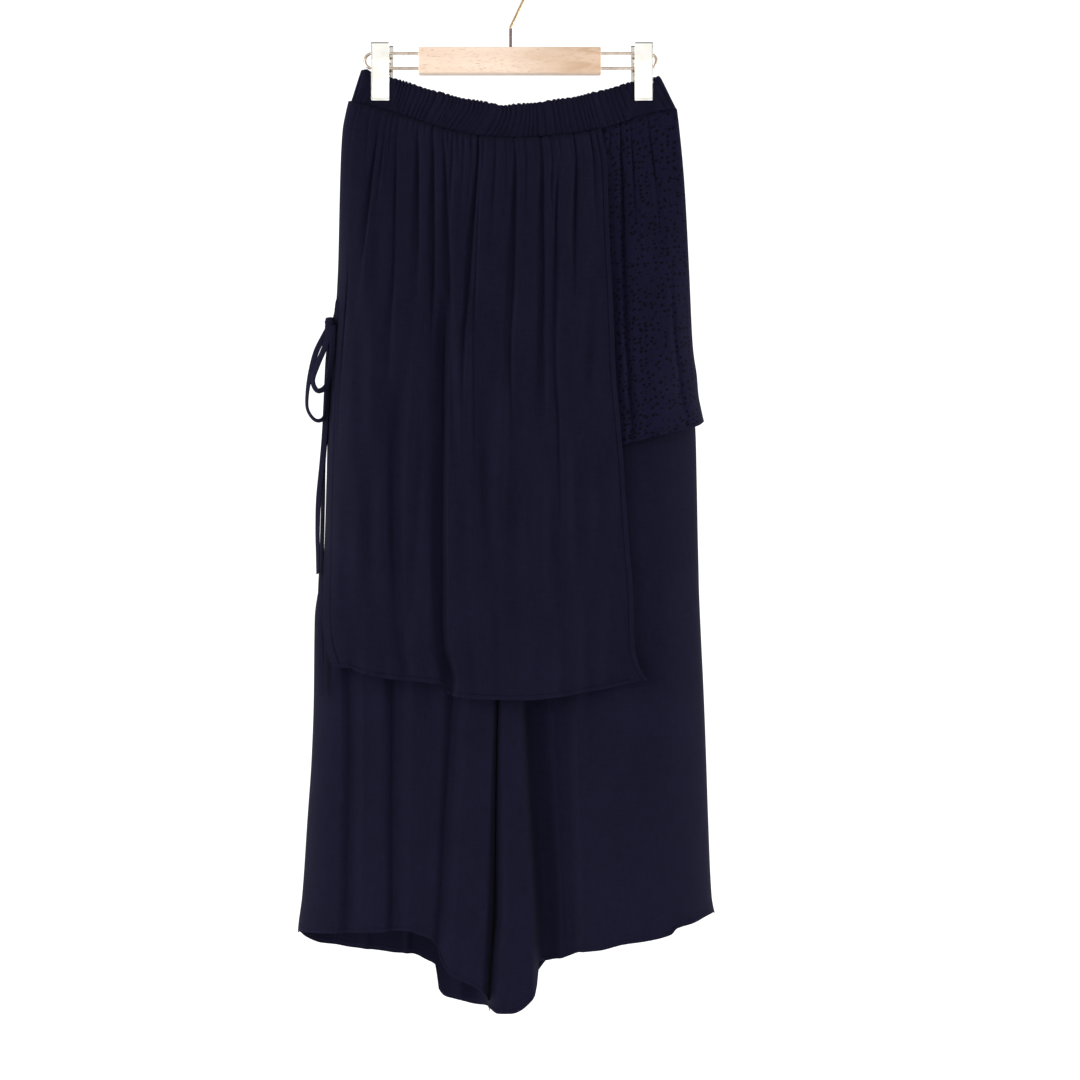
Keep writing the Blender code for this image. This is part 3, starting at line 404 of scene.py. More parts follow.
@dataclass(frozen=True)
class Crease:
    """A long fold in a panel.

    Attributes:
        across: its place across the panel, 0 to 1.
        half_width: half its width.
        depth: its depth.
        starts: the height where it starts.
        ends: the height where it has gone.
        skew: where its floor lies between its edges, -1 to 1.
        wander: how far it strays sideways, in half widths.
        pinch: its width's share where it starts.
        drawn: how sharply its floor is drawn in, 0 to 1.
        lean: how far it leans to the right for each millimetre that it drops.
        floor: its floor's form, 1 for sharp and 3 for flat.
        leans_from: the height where the lean starts.

    Every fold fades in over FADES_IN below its start, opens from its pinched width over OPENS_OVER
    once it is OPENS_AFTER further down, and fades out over FADES_OUT above its end. The cloth swells
    beside it by SWELL of its depth, or by MOST_SWELL where that is less.
    """

    FADES_IN: ClassVar[float] = 90.0
    FADES_OUT: ClassVar[float] = 160.0
    OPENS_AFTER: ClassVar[float] = 60.0
    OPENS_OVER: ClassVar[float] = 150.0
    WANDER_LENGTH: ClassVar[float] = 95.0
    WANDER_START: ClassVar[float] = 17.0
    WALL_SLOPE: ClassVar[float] = 1.5
    DRAWN_SHARE: ClassVar[float] = 0.3
    DRAWN_WIDTH: ClassVar[float] = 1.3
    SWELL: ClassVar[float] = 0.2
    MOST_SWELL: ClassVar[float] = 1.8
    SWELL_FADE: ClassVar[float] = 110.0
    SWELL_PLACE: ClassVar[float] = 1.5
    SWELL_WIDTH: ClassVar[float] = 0.75
    SWELL_LEFT: ClassVar[float] = 0.45

    across: float
    half_width: float
    depth: float
    starts: float
    ends: float
    skew: float = 0.0
    wander: float = 0.0
    pinch: float = 0.42
    drawn: float = 1.0
    lean: float = 0.0
    floor: float = 1.5
    leans_from: float = -190.0

    def at(self, across: Field, width: Field, z: Field) -> Field:
        """The fold's depth over a panel.

        Args:
            across: places across the panel, 0 to 1.
            width: the panel's width there.
            z: heights.

        Returns:
            The depths.
        """
        opened = ease((self.starts - self.OPENS_AFTER - z) / self.OPENS_OVER)
        opening = self.pinch + (1.0 - self.pinch) * opened
        turn = z / self.WANDER_LENGTH + self.WANDER_START * self.across
        stray = self.wander * self.half_width * np.sin(turn)
        stray = stray + self.lean * np.maximum(self.leans_from - z, 0.0)
        apart = (across - self.across) * width - stray
        offset = apart / (self.half_width * opening) - self.skew
        reach = np.where(offset < 0.0, 1.0 + self.skew, 1.0 - self.skew)
        shape = np.clip(1.0 - np.abs(offset / reach) ** self.floor, 0.0, 1.0) ** self.WALL_SLOPE
        from_floor = apart - self.skew * self.half_width * opening
        shape = shape + self.DRAWN_SHARE * self.drawn * bell(from_floor, self.DRAWN_WIDTH)
        strength = ease((self.starts - z) / self.FADES_IN)
        strength = strength * ease((z - self.ends) / self.FADES_OUT)
        return self.depth * shape * strength

    def swell(self, across: Field, width: Field, z: Field) -> Field:
        """How far the cloth swells beside the fold, most on its right.

        Args:
            across: places across the panel, 0 to 1.
            width: the panel's width there.
            z: heights.

        Returns:
            The heights of the swelling.
        """
        stray = self.lean * np.maximum(self.leans_from - z, 0.0)
        offset = ((across - self.across) * width - stray) / self.half_width
        strength = ease((self.starts - z) / self.SWELL_FADE)
        strength = strength * ease((z - self.ends) / self.SWELL_FADE)
        on_right = bell(offset - self.SWELL_PLACE, self.SWELL_WIDTH)
        on_left = self.SWELL_LEFT * bell(offset + self.SWELL_PLACE, self.SWELL_WIDTH)
        height = min(self.SWELL * self.depth, self.MOST_SWELL)
        return height * self.drawn * (on_right + on_left) * strength


def hollow(creases: Sequence[Crease], across: Field, width: Field, z: Field) -> Field:
    """How deep a panel's folds go, blended softly where they meet.

    Args:
        creases: the folds.
        across: places across the panel, 0 to 1.
        width: the panel's width there.
        z: heights.

    Returns:
        The depths.
    """
    total = np.zeros_like(z)
    swell = np.zeros_like(z)
    for crease in creases:
        total += crease.at(across, width, z) ** 4
        swell += crease.swell(across, width, z)
    return total**0.25 - swell


@dataclass(frozen=True)
class Gathers:
    """Small pleats that spring from a gathered seam and fade out below it.

    Attributes:
        spacing: the usual distance between two pleats.
        depth: the usual depth.
        half_width: half the usual width.
        reach: how far down the shortest and the longest pleat run.

    Each pleat's place in its spacing, depth and width are drawn from a range of the usual ones, and
    its lean from a spread of millimetres for each millimetre that it drops. They spring from the
    seam over SPRINGS_OVER.
    """

    PLACE_RANGE: ClassVar[Pair] = (0.15, 0.85)
    DEPTH_RANGE: ClassVar[Pair] = (0.35, 1.0)
    WIDTH_RANGE: ClassVar[Pair] = (0.7, 1.3)
    LEAN_SPREAD: ClassVar[float] = 0.035
    SPRINGS_OVER: ClassVar[float] = 2.5

    spacing: float
    depth: float
    half_width: float
    reach: Pair
    seed: int

    def at(self, along: Field, below: Field) -> Field:
        """The pleats' depth.

        Args:
            along: places along the seam.
            below: distances below the seam.

        Returns:
            The depths.
        """
        draw = np.random.default_rng(self.seed)
        low, high = float(along.min()), float(along.max())
        total = np.zeros_like(along)
        for k in range(int((high - low) / self.spacing)):
            centre = low + (k + draw.uniform(*self.PLACE_RANGE)) * self.spacing
            depth = self.depth * draw.uniform(*self.DEPTH_RANGE)
            half_width = self.half_width * draw.uniform(*self.WIDTH_RANGE)
            reach = self.reach[0] + (self.reach[1] - self.reach[0]) * draw.uniform() ** 2
            lean = draw.normal() * self.LEAN_SPREAD
            fade = 1.0 - ease(below / reach)
            total += depth * bell(along - centre - lean * below, half_width) * fade
        return total * ease(below / self.SPRINGS_OVER)


@dataclass(frozen=True)
class Drape:
    """Broad, shallow waves that run down hanging cloth.

    Attributes:
        wave: the usual distance from wave to wave.
        height: how far they rise and fall.
        fade: how far below the band they start, and the drop to their full height.
    """

    WAVES: ClassVar[int] = 6
    WIDTH_RANGE: ClassVar[Pair] = (0.6, 1.7)
    LENGTH_RANGE: ClassVar[Pair] = (7.0, 16.0)
    PHASE_RANGE: ClassVar[Pair] = (0.0, 6.28)

    wave: float
    height: float
    seed: int
    fade: Pair = (60.0, 200.0)

    def at(self, x: Field, z: Field, below: Field) -> Field:
        """The waves' height.

        Args:
            x: places across.
            z: heights.
            below: distances below the band.

        Returns:
            The waves' heights there.
        """
        draw = np.random.default_rng(self.seed)
        total = np.zeros_like(x)
        for _ in range(self.WAVES):
            across = 2.0 * math.pi / (self.wave * draw.uniform(*self.WIDTH_RANGE))
            down = 2.0 * math.pi / (self.wave * draw.uniform(*self.LENGTH_RANGE)) * draw.choice((-1, 1))
            total += np.sin(across * x + down * z + draw.uniform(*self.PHASE_RANGE))
        return total * self.height / self.WAVES * ease((below - self.fade[0]) / self.fade[1])


@dataclass(frozen=True)
class StitchedHem:
    """A turned and stitched edge.

    Attributes:
        depth: how deep the cloth is turned.
        proud: how far the turned cloth stands out.
        groove: how deep the stitching pulls in.
        pucker: how far the edge puckers along the stitching.

    The cloth steps up over STEP and the stitching pulls in over GROOVE_WIDTH. Its puckers are
    PUCKER_LENGTH long, stretched and squeezed by STRAY over every STRAY_LENGTH.
    """

    STEP: ClassVar[float] = 0.9
    GROOVE_WIDTH: ClassVar[float] = 0.75
    PUCKER_LENGTH: ClassVar[float] = 1.15
    STRAY: ClassVar[float] = 1.9
    STRAY_LENGTH: ClassVar[float] = 7.1

    depth: float
    proud: float = 0.35
    groove: float = 0.5
    pucker: float = 0.18

    def at(self, from_edge: Field, along: Field) -> Field:
        """How far the edge stands out.

        Args:
            from_edge: distances in from the edge.
            along: places along the edge.

        Returns:
            The distances out.
        """
        turned = self.proud * ease((self.depth - from_edge) / self.STEP)
        pulled = self.groove * bell(from_edge - self.depth, self.GROOVE_WIDTH)
        wave = along / self.PUCKER_LENGTH + self.STRAY * np.sin(along / self.STRAY_LENGTH)
        ripple = np.sin(wave) * bell(from_edge, 2.0 * self.depth)
        return turned - pulled + self.pucker * ripple


@dataclass(frozen=True)
class EndSpacing:
    """How points crowd towards one end of a grid.

    Attributes:
        reach: how far in from the end they crowd.
        count: how many there are in that reach.
        power: 1 for even steps, 2 for steps that shrink towards a rounded side.
    """

    reach: float
    count: int
    power: float = 1.0


def stations(length: float, step: float, first: EndSpacing, last: EndSpacing) -> Field:
    """Shares of a length where a grid's points go.

    Args:
        length: the length they cover.
        step: the usual step.
        first: how they crowd at the start.
        last: how they crowd at the end.

    Returns:
        The shares, from 0 to 1.
    """
    head = first.reach * (np.arange(first.count) / first.count) ** first.power
    tail = length - last.reach * (np.arange(last.count)[::-1] / last.count) ** last.power
    between = length - first.reach - last.reach
    count = max(1, round(between / step))
    body = first.reach + between * np.arange(count + 1) / count
    return np.concatenate([head, body, tail]) / length


# Finishes


class NodeBoard:
    """Lays out and joins a material's nodes."""

    def __init__(self, name: str) -> None:
        """Start a material with its Principled shader.

        Args:
            name: the material's name.
        """
        self.material = bpy.data.materials.new(name)
        self.material.use_nodes = True
        self.tree = self.material.node_tree
        self.shader = self.tree.nodes["Principled BSDF"]

    def feed(self, node: bpy.types.Node, inputs: dict) -> None:
        """Set or join a node's inputs.

        Args:
            node: the node.
            inputs: a number, a colour or another node's output for each socket name or place.
        """
        for key, value in inputs.items():
            socket = node.inputs[key]
            if isinstance(value, Socket):
                self.tree.links.new(value, socket)
            elif isinstance(value, tuple) and len(value) == 3 and socket.type == "RGBA":
                socket.default_value = (*value, 1.0)
            else:
                socket.default_value = value

    def add(self, kind: str, inputs: dict | None = None, **settings: object) -> bpy.types.Node:
        """Add a node.

        Args:
            kind: the shader node's type.
            inputs: what goes into its sockets.
            **settings: its other choices.

        Returns:
            The node.
        """
        node = self.tree.nodes.new("ShaderNode" + kind)
        for key, value in settings.items():
            setattr(node, key, value)
        self.feed(node, inputs or {})
        return node

    def cloth_map(self, scale: Point = (1.0, 1.0, 1.0)) -> Socket:
        """The piece's own cloth map, in metres, stretched by a scale."""
        source = self.add("UVMap", uv_map=CLOTH_MAP).outputs["UV"]
        return self.add("Mapping", {"Vector": source, "Scale": scale}).outputs["Vector"]

    def object_map(self, scale: Point = (1.0, 1.0, 1.0)) -> Socket:
        """The row's own coordinates, in metres, stretched by a scale."""
        source = self.add("TexCoord").outputs["Object"]
        return self.add("Mapping", {"Vector": source, "Scale": scale}).outputs["Vector"]

    def place_along(self, axis: str) -> Socket:
        """The row's own coordinate along X, Y or Z, in metres."""
        return self.add("SeparateXYZ", {"Vector": self.object_map()}).outputs[axis]

    def noise(self, vector: Socket, size: float, detail: float = 2.0) -> Socket:
        """Soft noise, its clouds about so many metres across."""
        inputs = {"Vector": vector, "Scale": 1.0 / size, "Detail": detail}
        return self.add("TexNoise", inputs).outputs["Fac"]

    def span(self, value: Socket, low: float, high: float, to_low: float, to_high: float) -> Socket:
        """A value taken from one range, low to high, to another, and kept within it."""
        inputs = {"Value": value, "From Min": low, "From Max": high, "To Min": to_low, "To Max": to_high}
        return self.add("MapRange", inputs).outputs["Result"]

    def math(self, operation: str, first: object, second: object) -> Socket:
        """Two values put together."""
        inputs = {0: first, 1: second}
        return self.add("Math", inputs, operation=operation).outputs["Value"]

    def mix(self, factor: Socket, first: object, second: object) -> Socket:
        """Two colours mixed by a factor.

        Args:
            factor: how much of the second colour there is, 0 to 1.
            first: the first colour.
            second: the second colour.

        Returns:
            The mixed colour.
        """
        node = self.add("Mix", {"Factor": factor}, data_type="RGBA")
        self.feed(node, {6: first, 7: second})
        return node.outputs[2]

    def bump(self, height: Socket, strength: float, distance: float) -> None:
        """Give the shader a bump."""
        inputs = {"Height": height, "Strength": strength, "Distance": distance}
        self.feed(self.shader, {"Normal": self.add("Bump", inputs).outputs["Normal"]})


@dataclass(frozen=True)
class CrepeFinish:
    """Fine crepe: a close plain weave with slubs, a soft bloom and a faint sheen.

    Attributes:
        deep: its darkest threads.
        light: its lightest threads.
        thread: the distance from thread to thread, in metres.
        fleck_spacing: the usual distance between two flecks, in metres.
        fleck_radius: the smallest and the largest radius, as shares of that distance.
        fleck_squash: how much shorter a fleck is down the cloth than across it.
        ragged_scale: the waves of a fleck's ragged edge in a metre.
        ragged_depth: how far that edge strays, in metres.
        fleck_shade: how dark a fleck is beside the darkest threads.
    """

    name: str
    deep: Colour
    light: Colour
    thread: float = 0.0006
    roughness: float = 0.82
    speckled: bool = False
    fleck_spacing: float = 0.0066
    fleck_radius: Pair = (0.06, 0.262)
    fleck_squash: float = 1.25
    ragged_scale: float = 420.0
    ragged_depth: float = 0.0016
    fleck_shade: float = 0.28

    def flecks(self, board: NodeBoard) -> Socket:
        """Scattered flecks of uneven size: 1 on a fleck, 0 off it.

        Args:
            board: the material's board.

        Returns:
            The flecks.
        """
        flat = board.cloth_map((1.0, self.fleck_squash, 1.0))
        inputs = {"Vector": flat, "Scale": self.ragged_scale, "Detail": 1.0}
        ragged = board.add("TexNoise", inputs).outputs["Color"]
        middle = (0.5, 0.5, 0.5)
        shift = board.add("VectorMath", {0: ragged, 1: middle}, operation="SUBTRACT")
        small = board.add("VectorMath", {0: shift.outputs[0]}, operation="SCALE")
        board.feed(small, {"Scale": self.ragged_depth})
        moved = board.add("VectorMath", {0: flat, 1: small.outputs[0]}, operation="ADD")
        inputs = {"Vector": moved.outputs[0], "Scale": 1.0 / self.fleck_spacing, "Randomness": 1.0}
        cells = board.add("TexVoronoi", inputs, voronoi_dimensions="2D")
        parts = board.add("SeparateColor", {"Color": cells.outputs["Color"]})
        radius = board.span(parts.outputs[0], 0.05, 0.6, *self.fleck_radius)
        inside = board.math("SUBTRACT", radius, cells.outputs["Distance"])
        return board.span(inside, -0.02, 0.02, 0.0, 1.0)

    def material(self) -> Material:
        """The finish as a material.

        Returns:
            The material.
        """
        board = NodeBoard(self.name)
        slubs = board.noise(board.cloth_map((1.0, 0.09, 1.0)), 0.0016, 3.0)
        picks = board.noise(board.cloth_map((0.12, 1.0, 1.0)), 0.0018, 2.0)
        bloom = board.noise(board.cloth_map(), 0.075, 3.0)
        pebble = board.noise(board.cloth_map(), 0.0011, 2.0)
        threads = board.math("MULTIPLY", board.math("ADD", slubs, picks), 0.36)
        tone = board.math("ADD", threads, board.math("MULTIPLY", bloom, 0.28))
        tone = board.span(tone, 0.32, 0.68, 0.0, 1.0)
        colour = board.mix(tone, self.deep, self.light)
        height = board.math("ADD", pebble, threads)
        for direction in ("X", "Y"):
            inputs = {"Vector": board.cloth_map(), "Scale": 0.314 / self.thread}
            weave = board.add("TexWave", inputs, bands_direction=direction)
            height = board.math("ADD", height, board.math("MULTIPLY", weave.outputs["Fac"], 0.45))
        if self.speckled:
            flecks = self.flecks(board)
            dark = tuple(self.fleck_shade * part for part in self.deep)
            colour = board.mix(flecks, colour, dark)
            height = board.math("ADD", height, board.math("MULTIPLY", flecks, 0.8))
        inputs = {
            "Base Color": colour,
            "Roughness": self.roughness,
            "Specular IOR Level": 0.055,
            "Sheen Weight": 0.012,
            "Sheen Roughness": 0.45,
        }
        board.feed(board.shader, inputs)
        board.bump(height, 0.35, 0.00022)
        return board.material


@dataclass(frozen=True)
class BeechFinish:
    """Pale, lightly oiled beech: long grain with short dark pores, and darker streaks.

    Attributes:
        pale: the wood's palest colour.
        warm: its colour along the broad rings.
        streak: the colour of its pores and streaks.
    """

    name: str
    pale: Colour
    warm: Colour
    streak: Colour

    def material(self) -> Material:
        """The finish as a material.

        Returns:
            The material.
        """
        board = NodeBoard(self.name)
        long_grain = board.noise(board.object_map((0.07, 1.0, 1.0)), 0.0026, 4.0)
        broad = board.noise(board.object_map((0.22, 1.0, 1.0)), 0.019, 3.0)
        pores = board.noise(board.object_map((0.16, 1.0, 1.0)), 0.0009, 1.0)
        ends = board.noise(board.object_map((1.0, 0.4, 1.6)), 0.055, 2.0)
        rings = board.math("ADD", board.math("MULTIPLY", long_grain, 0.45), broad)
        colour = board.mix(board.span(rings, 0.52, 0.92, 0.0, 1.0), self.pale, self.warm)
        dark_pores = board.span(pores, 0.60, 0.72, 0.0, 0.75)
        streaks = board.math("MULTIPLY", dark_pores, board.span(ends, 0.3, 0.6, 0.4, 1.0))
        colour = board.mix(streaks, colour, self.streak)
        along = board.place_along("X")
        darker = board.math("MULTIPLY", board.span(along, 0.0, 0.06, 0.1, 1.0), broad)
        colour = board.mix(darker, colour, self.streak)
        figure = board.noise(board.object_map((0.3, 1.0, 1.0)), 0.0055, 1.0)
        figure = board.span(figure, 0.46, 0.58, 0.0, 1.0)
        figured = board.math("MULTIPLY", figure, board.span(along, 0.05, 0.075, 0.0, 0.42))
        colour = board.mix(figured, colour, self.streak)
        inputs = {
            "Base Color": colour,
            "Roughness": board.span(long_grain, 0.3, 0.7, 0.42, 0.56),
            "Specular IOR Level": 0.35,
        }
        board.feed(board.shader, inputs)
        board.bump(board.math("SUBTRACT", long_grain, streaks), 0.12, 0.0003)
        return board.material


@dataclass(frozen=True)
class MetalFinish:
    """Plated wire or sheet with fine rubbed marks and faint tarnish, and where asked a thin line of
    painted shade along its top edge.

    Attributes:
        bright: its colour where it is rubbed.
        dull: its colour where it is tarnished.
        gloss: its roughness where it is rubbed and where it is tarnished.
        painted_shade_above: the height above which its face is darkened with painted shade, in metres,
            if any.
        painted_shade_blend: how far below that height the painted shade fades in, in metres.
    """

    name: str
    bright: Colour
    dull: Colour
    gloss: Pair
    painted_shade_above: float | None = None
    # The colour of the painted shade line along the top edge, not of bare metal
    bare: Colour = (0.07, 0.06, 0.055)
    painted_shade_blend: float = 0.0004

    def material(self) -> Material:
        """The finish as a material.

        Returns:
            The material.
        """
        board = NodeBoard(self.name)
        tarnish = board.noise(board.object_map(), 0.011, 4.0)
        rubbed = board.noise(board.object_map((1.0, 1.0, 0.08)), 0.0007, 2.0)
        colour = board.mix(board.span(tarnish, 0.42, 0.75, 0.0, 1.0), self.bright, self.dull)
        # Painted shade: the plate's top strip is darkened into a thin dark line
        if self.painted_shade_above is not None:
            painted_shade_starts = self.painted_shade_above - self.painted_shade_blend
            edge = board.span(board.place_along("Z"), painted_shade_starts, self.painted_shade_above, 0.0, 1.0)
            colour = board.mix(edge, colour, self.bare)
        inputs = {
            "Base Color": colour,
            "Metallic": 1.0,
            "Roughness": board.span(tarnish, 0.3, 0.7, *self.gloss),
        }
        board.feed(board.shader, inputs)
        board.bump(rubbed, 0.05, 0.00006)
        return board.material


@dataclass(frozen=True)
class BackdropFinish:
    """Smooth white studio paper, lit from behind where it stands behind the garment.

    Attributes:
        behind: the lit paper's own colour.
        lit_over: where along Y the light begins and is full, in metres.
        lit: how bright that light is.
    """

    name: str
    paper: Colour
    behind: Colour = (0.08, 0.08, 0.08)
    lit_over: Pair = (0.3, 1.0)
    lit: float = 1.08

    def material(self) -> Material:
        """The finish as a material.

        Returns:
            The material.
        """
        board = NodeBoard(self.name)
        fibre = board.noise(board.object_map(), 0.004, 2.0)
        colour = board.mix(fibre, self.paper, tuple(0.99 * part for part in self.paper))
        behind = board.span(board.place_along("Y"), *self.lit_over, 0.0, 1.0)
        colour = board.mix(behind, colour, self.behind)
        glow = board.math("MULTIPLY", behind, self.lit)
        inputs = {
            "Base Color": colour,
            "Roughness": 0.9,
            "Emission Color": (1.0, 1.0, 1.0),
            "Emission Strength": glow,
        }
        board.feed(board.shader, inputs)
        return board.material


class Finishes:
    """Every finish of the garment, its hanger and the studio, made once."""

    def __init__(self) -> None:
        """Make the materials."""
        navy = CrepeFinish("Navy crepe", (0.0029, 0.0026, 0.0096), (0.0059, 0.0053, 0.0169))
        dotted = CrepeFinish(
            "Dotted navy crepe", (0.0030, 0.0025, 0.0110), (0.0059, 0.0050, 0.0190), speckled=True
        )
        tape = CrepeFinish("Navy tape", (0.0045, 0.0043, 0.0125), (0.0080, 0.0075, 0.0208), 0.0005)
        self.navy = navy.material()
        self.dotted = dotted.material()
        self.tape = tape.material()
        self.beech = BeechFinish(
            "Beech", (0.80, 0.64, 0.525), (0.72, 0.545, 0.42), (0.44, 0.27, 0.15)
        ).material()
        # The last number is the height above which the plates' top edge gets a line of painted shade
        self.brass = MetalFinish(
            "Brass plate", (0.92, 0.905, 0.845), (0.86, 0.835, 0.755), (0.10, 0.16), -0.0902
        ).material()
        self.wire = MetalFinish(
            "Brass wire", (0.62, 0.52, 0.44), (0.44, 0.34, 0.26), (0.16, 0.30)
        ).material()
        self.hook = MetalFinish(
            "Hook brass", (0.56, 0.40, 0.25), (0.42, 0.27, 0.15), (0.18, 0.32)
        ).material()
        self.steel = MetalFinish(
            "Dark steel", (0.20, 0.145, 0.135), (0.10, 0.07, 0.065), (0.22, 0.4)
        ).material()
        self.paper = BackdropFinish("Studio paper", (0.82, 0.82, 0.82)).material()


# Making tools


def take_over(thing: Piece, look: Material, slot: str, *nodes: str) -> None:
    """Dress a finished piece and let it stand for its solids.

    Args:
        thing: the piece.
        look: its material.
        slot: the record's material slot; not used.
        *nodes: the solids that it replaces.
    """
    thing.data.materials.clear()
    thing.data.materials.append(look)
    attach(thing, BODY_NAME)
    if nodes:
        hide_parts(*nodes)
    log.info("%s made", thing.name)


def new_object(name: str, mesh: bpy.types.Mesh) -> Piece:
    """A smooth-shaded object of a mesh, in the scene.

    Args:
        name: the object's name.
        mesh: its mesh.

    Returns:
        The object.
    """
    mesh.shade_smooth()
    thing = bpy.data.objects.new(name, mesh)
    bpy.context.scene.collection.objects.link(thing)
    return thing


def cloth_lengths(points: Field) -> tuple[Field, Field]:
    """How far each point lies along the cloth, from its middle column and its top row.

    Args:
        points: the points, rows by columns by three.

    Returns:
        The lengths across and down.
    """
    across = np.linalg.norm(np.diff(points, axis=1), axis=2)
    across = np.concatenate([np.zeros((len(points), 1)), np.cumsum(across, axis=1)], axis=1)
    across -= across[:, across.shape[1] // 2][:, None]
    down = np.linalg.norm(np.diff(points, axis=0), axis=2)
    down = np.concatenate([np.zeros((1, points.shape[1])), np.cumsum(down, axis=0)], axis=0)
    return across, down


def bent_sheet(
    name: str, columns: Field, rows: Field, place: Callable[[Field, Field], Place], wall: float
) -> Piece:
    """A grid bent to a form and given its thickness, with its cloth map in metres.

    Args:
        name: the piece's name.
        columns: where its columns go, as shares across.
        rows: where its rows go, as shares down.
        place: gives the points, in millimetres, at shares across and down.
        wall: its thickness.

    Returns:
        The sheet.
    """
    mesh = bpy.data.meshes.new(name)
    grid = bmesh.new()
    grid.loops.layers.uv.new(CLOTH_MAP)
    wide, high = len(columns) - 1, len(rows) - 1
    bmesh.ops.create_grid(grid, x_segments=wide, y_segments=high, size=0.5, calc_uvs=True)
    grid.to_mesh(mesh)
    grid.free()
    flat = np.empty(3 * len(mesh.vertices))
    mesh.vertices.foreach_get("co", flat)
    flat = flat.reshape(-1, 3)
    column = np.rint((flat[:, 0] + 0.5) * wide).astype(int)
    row = np.rint((0.5 - flat[:, 1]) * high).astype(int)
    across, down = np.meshgrid(columns, rows)
    points = np.stack(place(across, down), axis=2) * MM
    mesh.vertices.foreach_set("co", points[row, column].ravel())
    along, below = cloth_lengths(points)
    corners = np.empty(len(mesh.loops), dtype=int)
    mesh.loops.foreach_get("vertex_index", corners)
    uv = np.stack([along[row, column], -below[row, column]], axis=1)[corners]
    mesh.uv_layers[CLOTH_MAP].data.foreach_set("uv", uv.ravel())
    mesh.update()
    thing = new_object(name, mesh)
    solid = thing.modifiers.new("Wall", "SOLIDIFY")
    solid.thickness = wall * MM
    solid.offset = 0.0
    return thing


def smooth_route(route: Sequence[Point], spacing: float) -> list[Vector]:
    """Points at an even spacing along a smooth curve through a route.

    Args:
        route: the route's points.
        spacing: the distance from point to point.

    Returns:
        The points.
    """
    points = [Vector(point) for point in route]
    ends = [2 * points[0] - points[1]] + points + [2 * points[-1] - points[-2]]
    fine = []
    for a, b, c, d in zip(ends, ends[1:], ends[2:], ends[3:]):
        for k in range(FINE_STEPS):
            t = k / FINE_STEPS
            curved = (2 * a - 5 * b + 4 * c - d) * t * t + (3 * b - a - 3 * c + d) * t**3
            fine.append(0.5 * (2 * b + (c - a) * t + curved))
    fine.append(points[-1])
    line = np.array(fine)
    gone = np.concatenate([[0.0], np.cumsum(np.linalg.norm(np.diff(line, axis=0), axis=1))])
    wanted = np.linspace(0.0, gone[-1], max(2, round(gone[-1] / spacing)) + 1)
    even = [np.interp(wanted, gone, line[:, axis]) for axis in range(3)]
    return [Vector(point) for point in zip(*even)]


def route_length(points: Sequence[Vector]) -> float:
    """The length of a line of points."""
    return sum((after - before).length for before, after in zip(points, points[1:]))


def round_wire(name: str, points: Sequence[Vector], diameter: float) -> Piece:
    """A round wire along points, as a closed mesh.

    Args:
        name: the piece's name.
        points: the line that it follows, in millimetres.
        diameter: its diameter, in millimetres.

    Returns:
        The wire.
    """
    curve = bpy.data.curves.new(name, "CURVE")
    curve.dimensions = "3D"
    curve.bevel_depth = 0.5 * diameter * MM
    curve.bevel_resolution = 5
    curve.use_fill_caps = True
    line = curve.splines.new("POLY")
    line.points.add(len(points) - 1)
    for point, target in zip(points, line.points):
        target.co = (*(point * MM), 1.0)
    drawn = bpy.data.objects.new(name, curve)
    bpy.context.scene.collection.objects.link(drawn)
    depsgraph = bpy.context.evaluated_depsgraph_get()
    mesh = bpy.data.meshes.new_from_object(drawn.evaluated_get(depsgraph))
    bpy.data.objects.remove(drawn, do_unlink=True)
    mesh.name = name
    return new_object(name, mesh)


# Studio


@dataclass(frozen=True)
class Lamp:
    """A soft rectangular lamp that faces a target; its power is in watts."""

    name: str
    at: Point
    target: Point
    size: Pair
    power: float

    def hang(self) -> None:
        """Put the lamp in the scene, turned to its target."""
        data = bpy.data.lights.new(self.name, "AREA")
        data.shape = "RECTANGLE"
        data.size, data.size_y = self.size
        data.energy = self.power
        lamp = bpy.data.objects.new(self.name, data)
        lamp.location = self.at
        facing = Vector(self.target) - Vector(self.at)
        lamp.rotation_euler = facing.to_track_quat("-Z", "Y").to_euler()
        bpy.context.scene.collection.objects.link(lamp)


